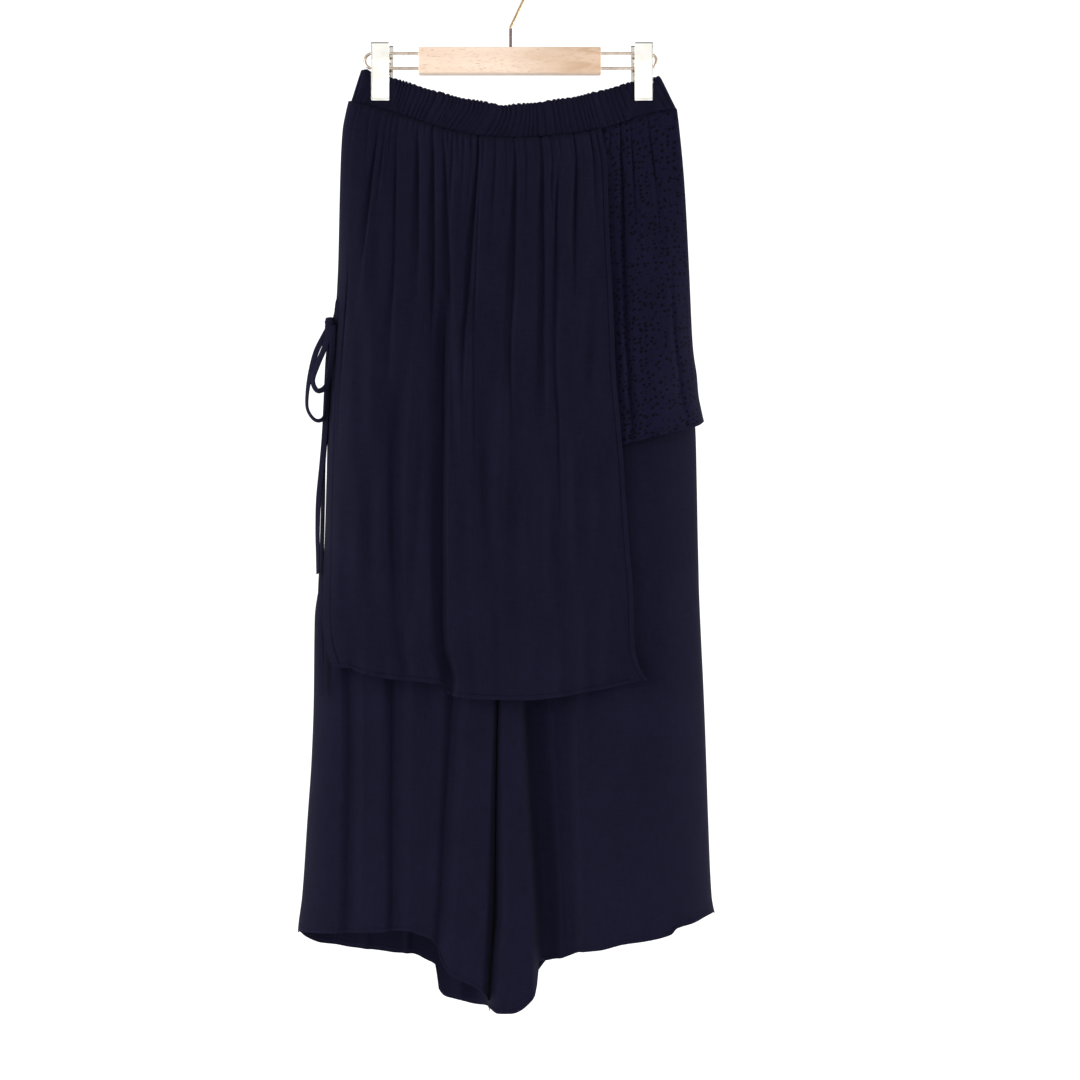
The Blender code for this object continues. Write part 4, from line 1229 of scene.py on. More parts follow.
@dataclass
class Studio:
    """The camera, the light and the plain white surroundings, in metres.

    Attributes:
        eye: where the camera stands.
        lens: its focal length, in millimetres.
        sensor: its picture's width, in millimetres.
        floor_front: where the floor starts, in front.
        cove: the radius of the bend between them.
        surround: how bright the surroundings are high up.
        shade: how bright they are low down.
        shade_levels: the heights, on a ball of radius 1, where the low and the high part end.
        lamps: a key from the front left, an edge light on either side, a low light at the hems and
        a card that the metal mirrors.
    """

    eye: Point = (0.0309, -2.3, -0.610)
    lens: float = 73.0
    sensor: float = 36.0
    floor_z: float = -1.42
    wall_y: float = 3.4
    floor_front: float = -5.0
    wall_top: float = 4.0
    cove: float = 0.9
    half_width: float = 6.0
    surround: float = 0.9
    shade: float = 0.22
    shade_levels: Pair = (-0.1, 0.8)
    lamps: tuple[Lamp, ...] = (
        Lamp("Key", (-2.25, -1.85, -0.2), (0.0, 0.0, -0.6), (1.3, 2.4), 47.0),
        Lamp("Right edge", (2.8, -0.35, -0.7), (0.1, 0.0, -0.7), (0.8, 2.2), 80.0),
        Lamp("Left edge", (-2.8, -0.35, -0.7), (-0.1, 0.0, -0.7), (0.8, 2.2), 44.0),
        Lamp("Low", (0.26, -0.75, -1.30), (0.06, 0.0, -1.0), (0.9, 0.2), 1.9),
        Lamp("Card", (0.0, -2.8, 0.0), (0.0, 0.0, -0.1), (2.6, 1.5), 11.0),
    )

    def camera(self) -> None:
        """Stand the camera straight in front of the garment."""
        data = bpy.data.cameras.new("Camera")
        data.lens = self.lens
        data.sensor_width = self.sensor
        camera = bpy.data.objects.new("Camera", data)
        camera.location = self.eye
        camera.rotation_euler = (math.radians(90.0), 0.0, 0.0)
        bpy.context.scene.collection.objects.link(camera)
        bpy.context.scene.camera = camera

    def backdrop(self, paper: Material) -> None:
        """A paper sweep: a floor that curves up into a wall far behind.

        Args:
            paper: the paper's material.
        """
        sweep = bmesh.new()
        bend_y = self.wall_y - self.cove
        line = [(self.floor_front, self.floor_z), (bend_y, self.floor_z)]
        steps = 12
        for k in range(1, steps + 1):
            turn = math.radians(90.0 / steps * k)
            rise = self.cove * (1.0 - math.cos(turn))
            line.append((bend_y + self.cove * math.sin(turn), self.floor_z + rise))
        line.append((self.wall_y, self.wall_top))
        made = [sweep.verts.new((-self.half_width, y, z)) for y, z in line]
        edges = [sweep.edges.new(pair) for pair in zip(made, made[1:])]
        drawn = bmesh.ops.extrude_edge_only(sweep, edges=edges)["geom"]
        moved = [part for part in drawn if isinstance(part, bmesh.types.BMVert)]
        bmesh.ops.translate(sweep, verts=moved, vec=(2.0 * self.half_width, 0.0, 0.0))
        mesh = bpy.data.meshes.new("studio_paper")
        sweep.to_mesh(mesh)
        sweep.free()
        thing = new_object("studio_paper", mesh)
        thing.data.materials.append(paper)

    def light(self) -> None:
        """White surroundings, darker low down, with the lamps and plain tones."""
        world = bpy.data.worlds.new("Studio")
        world.use_nodes = True
        tree = world.node_tree
        background = tree.nodes["Background"]
        sky = tree.nodes.new("ShaderNodeTexCoord")
        parts = tree.nodes.new("ShaderNodeSeparateXYZ")
        level = tree.nodes.new("ShaderNodeMapRange")
        level.inputs["From Min"].default_value = self.shade_levels[0]
        level.inputs["From Max"].default_value = self.shade_levels[1]
        level.inputs["To Min"].default_value = self.shade
        level.inputs["To Max"].default_value = self.surround
        tree.links.new(sky.outputs["Generated"], parts.inputs["Vector"])
        tree.links.new(parts.outputs["Z"], level.inputs["Value"])
        tree.links.new(level.outputs["Result"], background.inputs["Strength"])
        background.inputs["Color"].default_value = (1.0, 1.0, 1.0, 1.0)
        bpy.context.scene.world = world
        for lamp in self.lamps:
            lamp.hang()
        bpy.context.scene.view_settings.view_transform = "Standard"
        bpy.context.scene.view_settings.look = "None"


# Tie


@dataclass
class Tie:
    """The bow of narrow flat tape at the left slit.

    Attributes:
        tape: the tape's width.
        cupping: how far its edges curl back.
        spacing: the distance from point to point along it, in metres.
        lead: how far an end goes up into the knot, in metres.
        knot_size: the knot's width, depth and height.
        knot_turns: the turns from its middle to its end.
        knot_slant: how much they slant across it.
        knot_swell: how low the furrows lie, and how far the turns rise from them.
    """

    tape: float = 6.0
    thickness: float = 1.1
    cupping: float = 0.35
    spacing: float = 0.0022
    lead: float = 0.0042
    knot_size: Point = (10.4, 17.4, 13.4)
    knot_centre: Point = (-188.9, -9.7, -383.6)
    knot_turns: float = 1.5
    knot_slant: float = 0.35
    knot_swell: Pair = (0.86, 0.14)

    def ribbon(
        self, name: str, route: Sequence[Point], turns: Sequence[Pair]
    ) -> tuple[Piece, list[Vector]]:
        """A flat tape along a route, turning about its own line.

        Args:
            name: the piece's name.
            route: the route, in metres.
            turns: the share of the way and the angle in degrees, 0 where the tape faces the front.

        Returns:
            The tape and the line that it follows.
        """
        line = smooth_route(route, self.spacing)
        table = SmoothTable.of(turns)
        last = len(line) - 1
        frames = []
        for k, point in enumerate(line):
            ahead = (line[min(k + 1, last)] - line[max(k - 1, 0)]).normalized()
            facing = Vector((0.0, -1.0, 0.0))
            facing = (facing - ahead * facing.dot(ahead)).normalized()
            angle = math.radians(float(table.at(np.array(k / last))))
            facing = Matrix.Rotation(angle, 3, ahead) @ facing
            frames.append((point, ahead.cross(facing), facing))

        def place(across: Field, down: Field) -> Place:
            """Points across the tape's width and along its line.

            Args:
                across: shares across the tape.
                down: shares along its line.

            Returns:
                The points.
            """
            points = np.zeros((*across.shape, 3))
            for j in range(len(down)):
                at, wide, facing = frames[round(float(down[j, 0]) * last)]
                offset = (across[j] - 0.5) * self.tape
                cupped = self.cupping * (4.0 * (across[j] - 0.5) ** 2)
                points[j] = (
                    np.array(at)[None] / MM
                    + offset[:, None] * np.array(wide)[None]
                    - cupped[:, None] * np.array(facing)[None]
                )
            return points[:, :, 0], points[:, :, 1], points[:, :, 2]

        columns = np.linspace(0.0, 1.0, 7)
        rows = np.arange(last + 1) / last
        return bent_sheet(name, columns, rows, place, self.thickness), line

    def knot(self, look: Material) -> Piece:
        """The knot: tape wound three times round and drawn tight.

        Args:
            look: the tape's material.

        Returns:
            The knot.
        """
        ball = bmesh.new()
        ball.loops.layers.uv.new(CLOTH_MAP)
        bmesh.ops.create_uvsphere(ball, u_segments=48, v_segments=32, radius=1.0, calc_uvs=True)
        half = [0.5 * size for size in self.knot_size]
        for vertex in ball.verts:
            x, y, z = vertex.co
            level = z + self.knot_slant * x + 0.2 * math.sin(3.0 * y)
            wound = abs(math.sin(self.knot_turns * math.pi * level))
            swell = self.knot_swell[0] + self.knot_swell[1] * wound**0.7
            squared = (abs(x) ** 3 + abs(y) ** 3 + abs(z) ** 3) ** (-1.0 / 3.0)
            vertex.co = [
                (self.knot_centre[k] + part * squared * swell * half[k]) * MM
                for k, part in enumerate((x, y, z))
            ]
        for face in ball.faces:
            for loop in face.loops:
                spot = loop.vert.co
                loop[ball.loops.layers.uv.active].uv = (spot.x + 0.6 * spot.y, spot.z)
        mesh = bpy.data.meshes.new("tie_knot_dressed")
        ball.to_mesh(mesh)
        ball.free()
        thing = new_object("tie_knot_dressed", mesh)
        take_over(thing, look, "navy_tape", "tie_knot")
        return thing

    def build(self, look: Material) -> None:
        """Make the bow: its anchor, knot, two loops and two tails.

        Args:
            look: the tape's material.
        """
        knot = self.knot(look)
        anchor, _ = self.ribbon("tie_base_tape", TIE_BASE_ROUTE, ((0.0, 0.0), (1.0, 20.0)))
        take_over(anchor, look, "navy_tape", "tie_base")
        plans = (
            (
                "tie_loop_outer", LOOP_OUTER_ROUTE, "object",
                ((0.0, 5.0), (0.22, 25.0), (0.36, 55.0), (0.46, 62.0), (0.60, 58.0), (1.0, 20.0)),
            ),
            (
                "tie_loop_inner", LOOP_INNER_ROUTE, "object",
                ((0.0, 0.0), (0.25, 15.0), (0.45, 40.0), (0.6, 40.0), (0.8, 20.0), (1.0, 5.0)),
            ),
            (
                "tie_tail_short", TAIL_SHORT_ROUTE, "bare",
                ((0.0, 5.0), (0.2, 5.0), (0.42, 10.0), (0.58, 20.0), (0.8, 40.0), (1.0, 60.0)),
            ),
            (
                "tie_tail_long", TAIL_LONG_ROUTE, "bare",
                ((0.0, 5.0), (0.25, 5.0), (0.5, 48.0), (0.7, 35.0), (0.85, 5.0), (1.0, 15.0)),
            ),
        )
        for node, bare_route, far_end, turns in plans:
            start = Vector(bare_route[0]) + Vector((0.0, 0.0, self.lead))
            route = (tuple(start), *bare_route)
            if far_end == "object":
                route = (*route, tuple(Vector(bare_route[-1]) + Vector((0.0, 0.0, self.lead))))
            tape, line = self.ribbon(f"{node}_tape", route, turns)
            take_over(tape, look, "navy_tape", node)
            route_length(line)


# Cloth


@dataclass(frozen=True)
class Cut:
    """The flat piece that a panel is cut as, in metres, with its area if it isn't a rectangle."""

    width: float
    length: float
    area: float | None = None
    held: str = "hung"


@dataclass
class ClothPanel:
    """One cut piece of the garment.

    Attributes:
        node: the solid's name.
        slot: the record's material slot.
        cut: the flat piece.
        columns: where the grid's columns go, as shares across.
        rows: where its rows go, as shares down.
        wall: the cloth's thickness.
    """

    node: str
    slot: str
    cut: Cut
    columns: Field
    rows: Field
    wall: float = 0.7
    side: Side = Side.FRONT
    creases: Sequence[Crease] = ()

    def place(self, across: Field, down: Field) -> Place:
        """The panel's points at shares across and down, in millimetres; each kind gives its own."""
        raise NotImplementedError

    def build(self, look: Material) -> None:
        """Make the panel.

        Args:
            look: the cloth's material.
        """
        name = f"{self.node}_cloth"
        thing = bent_sheet(name, self.columns, self.rows, self.place, self.wall)
        take_over(thing, look, self.slot, self.node)


@dataclass
class BandWall(ClothPanel):
    """The front or the back of the waistband: a casing folded over elastic and finely gathered.

    Attributes:
        gathers: how many gathers there are.
        gather_roundness: their ridges' form, less for rounder ones.
        slant_at: where they slant most.
        slant_width: how far from there the slant reaches.
        slant: the slant there and elsewhere, as shares of the width.
        seam_flare: how far they flare out at the seam.
        seam_flare_from: the share of the height where that starts.
        scallop: how far they scallop the upper edge.
        end_rounding: how far in the ends are rounded.
        flare_rounding: how far in the flare's ends are.
        casing: the folded casing's thickness.
        fold: how far down its fold has turned.
        fold_drop: how far down the two walls start.
        lining_up: how far above the seam the inner wall ends.
        flat: how far out the band lies under a clip.
        flat_gathers: the gathers' share there.
        loosens: how far beside a clip they are free again.
        pinched_out: how far out it stands beside a clip.
        pinched_width: how far from the clip that reaches.
        seed: sets the back's gathers apart from the front's.
    """

    gathers: float = 62.0
    gather_depth: float = 2.2
    gather_roundness: float = 0.62
    slant_at: float = -45.0
    slant_width: float = 62.0
    slant: Pair = (0.075, -0.004)
    seam_flare: float = 2.0
    seam_flare_from: float = 0.6
    scallop: float = 1.9
    corner: float = 4.0
    end_rounding: float = 5.0
    flare_rounding: float = 9.0
    casing: float = 2.2
    fold: float = 1.6
    fold_drop: float = 1.2
    lining_up: float = 1.5
    flat: float = 0.95
    flat_gathers: float = 0.12
    loosens: float = 8.0
    puff: float = 1.1
    pinched_out: float = 2.3
    pinched_width: float = 12.0
    seed: float = 0.0

    def ridges(self, x: Field, across: Field, down: Field) -> Field:
        """The gathers: round ridges with sharp valleys, slanted left of the middle.

        Args:
            x: places across, in millimetres.
            across: shares across.
            down: shares down the band.

        Returns:
            The ridges' height, 0 to 1.
        """
        slant = self.slant[0] * bell(x - self.slant_at, self.slant_width) + self.slant[1]
        bent = 0.5 * (down - 0.25 + np.sqrt((down - 0.25) ** 2 + 0.02))
        place = across + slant * bent
        stray = 0.42 * np.sin(33.3 * place + 1.0 + self.seed) + 0.3 * np.sin(73.5 * place + 2.2)
        phase = math.pi * (self.gathers * place + stray)
        fine = np.abs(np.sin(2.3 * phase + 2.0 * down)) * 0.3
        height = 0.78 + 0.22 * np.sin(51.0 * place + 3.0 * self.seed + 3.5 * down)
        return np.abs(np.sin(phase)) ** self.gather_roundness * height + fine

    def place(self, across: Field, down: Field) -> Place:
        """Points of the casing.

        Args:
            across: shares across.
            down: shares down, -1 to 0 up its inner wall and 0 to 1 down its outer one.

        Returns:
            The points.
        """
        top, seam = FORM.band_top, FORM.band_seam
        top_x = top.keys[0] + (top.keys[-1] - top.keys[0]) * across
        low_x = seam.keys[0] + (seam.keys[-1] - seam.keys[0]) * across
        share = np.abs(down)
        x = top_x + (low_x - top_x) * share
        ridges = self.ridges(x, across, share)
        top_z = top.at(top_x) + self.scallop * (ridges - 0.6)
        from_end = np.minimum(top_x - top.keys[0], top.keys[-1] - top_x)
        top_z = top_z - self.corner * (1.0 - quarter_round(from_end + 0.3, self.corner))
        low_z = seam.at(low_x)
        from_clip = np.minimum(*(np.abs(x - at) for at in FORM.clip_x)) - 0.55 * FORM.clip_width
        loose = self.flat_gathers + (1.0 - self.flat_gathers) * ease(from_clip / self.loosens)
        ends = (top_x[0, at] + (low_x[0, at] - top_x[0, at]) * share for at in (0, -1))
        left_end, right_end = ends
        from_side = np.minimum(x - left_end, right_end - x)
        pinched = self.pinched_out * bell(np.maximum(from_clip, 0.0), self.pinched_width)
        puff = self.puff * np.sin(math.pi * np.clip(share, 0.0, 1.0)) * loose
        full = np.maximum(self.flat + FORM.bow(x), pinched) + puff
        full = full + self.gather_depth * ridges * loose
        full = full * quarter_round(from_side + 0.05, self.end_rounding)
        height = top_z - low_z
        past = share * height
        turned = np.clip(past / self.fold, 0.0, 1.0) * 0.5 * math.pi
        depth = np.minimum(self.casing, np.maximum(full - 0.45, 0.05))
        inner = down < 0.0
        out = full - 0.5 * depth + np.where(inner, -0.5, 0.5) * depth * np.sin(turned)
        flare = ease((share - self.seam_flare_from) / (1.0 - self.seam_flare_from))
        flared = self.seam_flare * flare * loose
        out = out + np.where(inner, 0.0, flared * quarter_round(from_side + 0.05, self.flare_rounding))
        z = top_z - self.fold_drop * (1.0 - np.cos(turned)) - np.maximum(past - self.fold, 0.0)
        z = np.maximum(z, low_z + np.where(inner, self.lining_up, 0.0))
        return x, self.side.value * np.maximum(out, 0.03), z


@dataclass
class LegPanel(ClothPanel):
    """The front or the back of a leg, from its side seam to its inner seam.

    The right leg's front has a strip beside the slit that hangs forward of the rest.

    Attributes:
        hem: the hem's height over the place across.
        seam_top: the height where the inner seam starts to part from the middle plane.
        crotch_curve: how the seam curves down to it.
        inner_rounding: how far in the inner side is rounded, high up and at the hem.
        rounding_fade: the height where that starts to widen, and the drop to its widest.
        inner_step: the share of the depth taken in one step at the inner seam.
        step_width: how far in that step reaches.
        step_fade: the height where it starts to shrink, and the drop to half of it.
        full_depth: how far out the folds have their full depth.
        strip_across: the strip's share of the width.
        strip_warp: how far the columns crowd to the strip's edge at the hem.
        strip_warp_at: where that edge is, as a share from the inner seam.
        strip_warp_fade: the height where the crowding starts, and the drop to its full.
        strip_lean: how far the strip leans to the left at the hem.
        strip_lean_fade: the height where that starts, and the drop to its full.
        strip_depth: how far out the strip hangs.
    """

    leg: LegName = LegName.LEFT
    hem: SmoothTable = SmoothTable.of(HEM_LEFT_FRONT_ROWS)
    drape: Drape = Drape(58.0, 2.6, 3)
    edge: StitchedHem = StitchedHem(4.4, 0.6, 0.6)
    seam_top: float = -190.0
    crotch: float = -520.0
    crotch_curve: float = 2.4
    inner_rounding: Pair = (12.0, 19.0)
    rounding_fade: Pair = (-720.0, 350.0)
    inner_step: float = 0.54
    step_width: float = 0.8
    step_fade: Pair = (-800.0, 230.0)
    full_depth: float = 20.0
    strip_across: float = 0.135
    strip_warp: float = 0.042
    strip_warp_at: float = 0.19
    strip_warp_fade: Pair = (-740.0, 260.0)
    strip_lean: float = 4.0
    strip_lean_fade: Pair = (-1000.0, 50.0)
    strip_depth: float = 38.0

    def inner_side(self, from_inner: Field, z: Field) -> Field:
        """What rounds the leg towards its inner seam.

        Args:
            from_inner: distances from the inner seam.
            z: heights.

        Returns:
            The share of its full depth that the leg has, 0 to 1.
        """
        share = np.clip((self.seam_top - z) / (self.seam_top - self.crotch), 0.0, 1.0)
        seamed = (1.0 - share**self.crotch_curve) ** (1.0 / self.crotch_curve)
        low, high = self.inner_rounding
        radius = low + (high - low) * further_down(z, self.rounding_fade)
        step = self.inner_step * (1.0 - 0.5 * further_down(z, self.step_fade))
        turned_in = step * ease(from_inner / self.step_width)
        turned_in = turned_in + (1.0 - step) * quarter_round(from_inner, radius)
        return seamed + (1.0 - seamed) * turned_in

    def place(self, across: Field, down: Field) -> Place:
        """The panel's points.

        Args:
            across: shares across.
            down: shares down.

        Returns:
            The points.
        """
        right = self.leg is LegName.RIGHT
        strip = right and self.side is Side.FRONT
        outer = FORM.right if right else FORM.left

        def x_at(z: Field) -> Field:
            """The place across at a height.

            Args:
                z: heights.

            Returns:
                The places across.
            """
            share = across
            if strip:
                from_edge = np.abs(1.0 - across - self.strip_warp_at)
                near = np.minimum(from_edge / self.strip_warp_at, 1.0)
                warp = self.strip_warp * further_down(z, self.strip_warp_fade)
                share = share - warp * (1.0 - near * near) ** 2
            return outer.at(z) + (FORM.middle.at(z) - outer.at(z)) * share

        x, z = FORM.hang(down, x_at, self.hem)
        width = np.abs(outer.at(z) - FORM.middle.at(z))
        inner = self.inner_side(np.abs(x - FORM.middle.at(z)), z)
        closing = quarter_round(np.abs(x - outer.at(z)), FORM.seam_closing)
        out = FORM.skin(x, z, self.side, CULOTTE, 0.0, inner, closing)
        place_across = 1.0 - across if right else across
        folded = hollow(self.creases, place_across, width, z)
        shown = np.clip(out / self.full_depth, 0.0, 1.0)
        out = out - folded * shown
        out = out + self.drape.at(x, z, FORM.band_seam.at(x) - z) * shown
        from_hem = (1.0 - down) * (FORM.band_seam.at(x) - self.hem.at(x))
        out = out + self.edge.at(from_hem, x) * shown
        if strip:
            inside = np.clip((across - 1.0 + self.strip_across) / self.strip_across, 0.0, 1.0)
            lean = self.strip_lean * further_down(z, self.strip_lean_fade)
            x = x - lean * inside * np.clip(out / self.strip_depth, 0.0, 1.0)
        return x, self.side.value * np.maximum(out, 0.0), z


@dataclass
class ApronPanel(ClothPanel):
    """The long front panel, gathered into the band and free at both sides below the slit's tie.

    Attributes:
        gathers: the pleats at its seam.
        gathered_width: the width that they spread over.
        hem: the hem's height over the place across.
        left: its left edge, over the height.
        left_edge: its turned left edge, below the tie.
        tied_fade: the height where the left edge starts to come free, and the drop until it is.
        tied_rounding: how far in it is rounded where it is held.
        held_to: the share of its length where the band's hold ends.
        settle: how far it settles back on the right, low down.
        settle_fade: the height where that starts, and the drop to its full.
        settle_at: where across it starts, and how far on it is full.
        left_fades: how far in from the left edge its folds, its pleats and its waves are full.
        drift: how far its grid drifts to the left above and below the middle, as shares across.
    """

    gathers: Gathers = Gathers(7.6, 1.9, 1.7, (20.0, 130.0), 11)
    gathered_width: float = 285.0
    drape: Drape = Drape(36.0, 2.6, 5, (40.0, 160.0))
    hem: SmoothTable = SmoothTable.of(HEM_APRON_ROWS)
    left: SmoothTable = SmoothTable.of(APRON_LEFT_ROWS)
    right: SmoothTable = SmoothTable.of(APRON_RIGHT_ROWS)
    bottom_edge: StitchedHem = StitchedHem(5.0, 0.6, 0.6)
    left_edge: StitchedHem = StitchedHem(9.5, 0.6, 0.7, 0.12)
    right_edge: StitchedHem = StitchedHem(4.5, 0.7, 0.8, 0.15)
    tie_z: float = -372.0
    tied_fade: Pair = (-312.0, 55.0)
    tied_rounding: float = 16.0
    held_to: float = 0.12
    settle: float = 6.5
    settle_fade: Pair = (-450.0, 110.0)
    settle_at: Pair = (40.0, 60.0)
    left_fades: Point = (6.0, 12.0, 20.0)
    drift: Pair = (0.042, 0.028)

    def place(self, across: Field, down: Field) -> Place:
        """The panel's points.

        Args:
            across: shares across.
            down: shares down.

        Returns:
            The points.
        """
        drift = self.drift[0] * np.minimum(down / 0.35, 1.0)
        drift = drift + self.drift[1] * np.maximum(down - 0.5, 0.0) / 0.5
        share = across - drift * 4.0 * across * (1.0 - across)

        def x_at(z: Field) -> Field:
            """The place across at a height."""
            return self.left.at(z) + (self.right.at(z) - self.left.at(z)) * share

        x, z = FORM.hang(down, x_at, self.hem)
        left, right = self.left.at(z), self.right.at(z)
        width = right - left
        from_left, from_right = x - left, right - x
        closing = quarter_round(from_left, FORM.seam_closing)
        out = FORM.skin(x, z, Side.FRONT, APRON, APRON.side, 1.0, closing)
        settled = self.settle * further_down(z, self.settle_fade)
        out = out - settled * ease((x - self.settle_at[0]) / self.settle_at[1])
        sewn = 1.0 - further_down(z, self.tied_fade)
        out = out * (1.0 - sewn * (1.0 - quarter_round(from_left, self.tied_rounding)))
        held = FORM.held_relief + (1.0 - FORM.held_relief) * ease(down / self.held_to)
        below = FORM.band_seam.at(x) - z
        folds_in, pleats_in, waves_in = (ease(from_left / fade) for fade in self.left_fades)
        out = out - held * hollow(self.creases, across, width, z) * folds_in
        out = out - self.gathers.at(across * self.gathered_width, below) * pleats_in
        out = out + self.drape.at(x, z, below) * waves_in
        from_hem = (1.0 - down) * (FORM.band_seam.at(x) - self.hem.at(x))
        out = out + self.bottom_edge.at(from_hem, x)
        out = out + self.left_edge.at(from_left, z) * ease((self.tie_z - z) / 20.0)
        out = out + self.right_edge.at(from_right, z)
        return x, -np.maximum(out, 0.02), z


@dataclass
class DottedPanel(ClothPanel):
    """A part of the short dotted hip panel: its front, or its back.

    Attributes:
        gathers: the pleats at its seam.
        hem: the hem's height over the place across.
        right: its right side, over the height.
        left: the back's left side, above the tie.
        hidden_edge: where the front ends, behind the apron.
        side_fade: how far in from its sides its folds are full.
        held_to: the share of its length where the band's hold ends.
    """

    gathers: Gathers = Gathers(8.0, 1.2, 1.7, (18.0, 90.0), 23)
    drape: Drape = Drape(30.0, 1.2, 8, (30.0, 90.0))
    hem: SmoothTable = SmoothTable.of(HEM_DOTTED_FRONT_ROWS)
    right: SmoothTable = SmoothTable.of(DOTTED_RIGHT_ROWS)
    left: SmoothTable = SmoothTable.of(APRON_LEFT_ROWS)
    edge: StitchedHem = StitchedHem(4.0, 0.35, 0.5, 0.16)
    hidden_edge: float = 62.0
    tie_z: float = -372.0
    held_to: float = 0.2
    side_fade: float = 9.0

    def place(self, across: Field, down: Field) -> Place:
        """The panel's points.

        Args:
            across: shares across.
            down: shares down.

        Returns:
            The points.
        """
        front = self.side is Side.FRONT

        def x_at(z: Field) -> Field:
            """The place across at a height.

            Args:
                z: heights.

            Returns:
                The places across.
            """
            right = self.right.at(z)
            if front:
                return self.hidden_edge + (right - self.hidden_edge) * across
            tied = ease((self.tie_z - z) / 40.0)
            left = self.left.at(z) * (1.0 - tied) + (FORM.left.at(z) - DOTTED.side) * tied
            return right + (left - right) * across

        x, z = FORM.hang(down, x_at, self.hem)
        right = self.right.at(z)
        flare = right - FORM.right.at(z)
        width = right - (self.hidden_edge if front else FORM.left.at(z))
        side_out = flare if front else np.where(x > 0.0, flare, FORM.left.at(z) - x_at(z)[:, -1:])
        from_side = right - x
        if not front:
            from_side = np.minimum(from_side, x - x_at(z)[:, -1:])
        closing = quarter_round(from_side, FORM.seam_closing)
        out = FORM.skin(x, z, self.side, DOTTED, side_out, 1.0, closing)
        held = FORM.held_relief + (1.0 - FORM.held_relief) * ease(down / self.held_to)
        inside = ease(from_side / self.side_fade)
        out = out - held * hollow(self.creases, across, width, z) * inside
        below = FORM.band_seam.at(x) - z
        out = out - self.gathers.at(np.abs(x), below) * inside
        out = out + self.drape.at(x, z, below) * inside
        from_hem = (1.0 - down) * (FORM.band_seam.at(x) - self.hem.at(x))
        out = out + self.edge.at(from_hem, x) * inside
        return x, self.side.value * np.maximum(out, 0.02), z


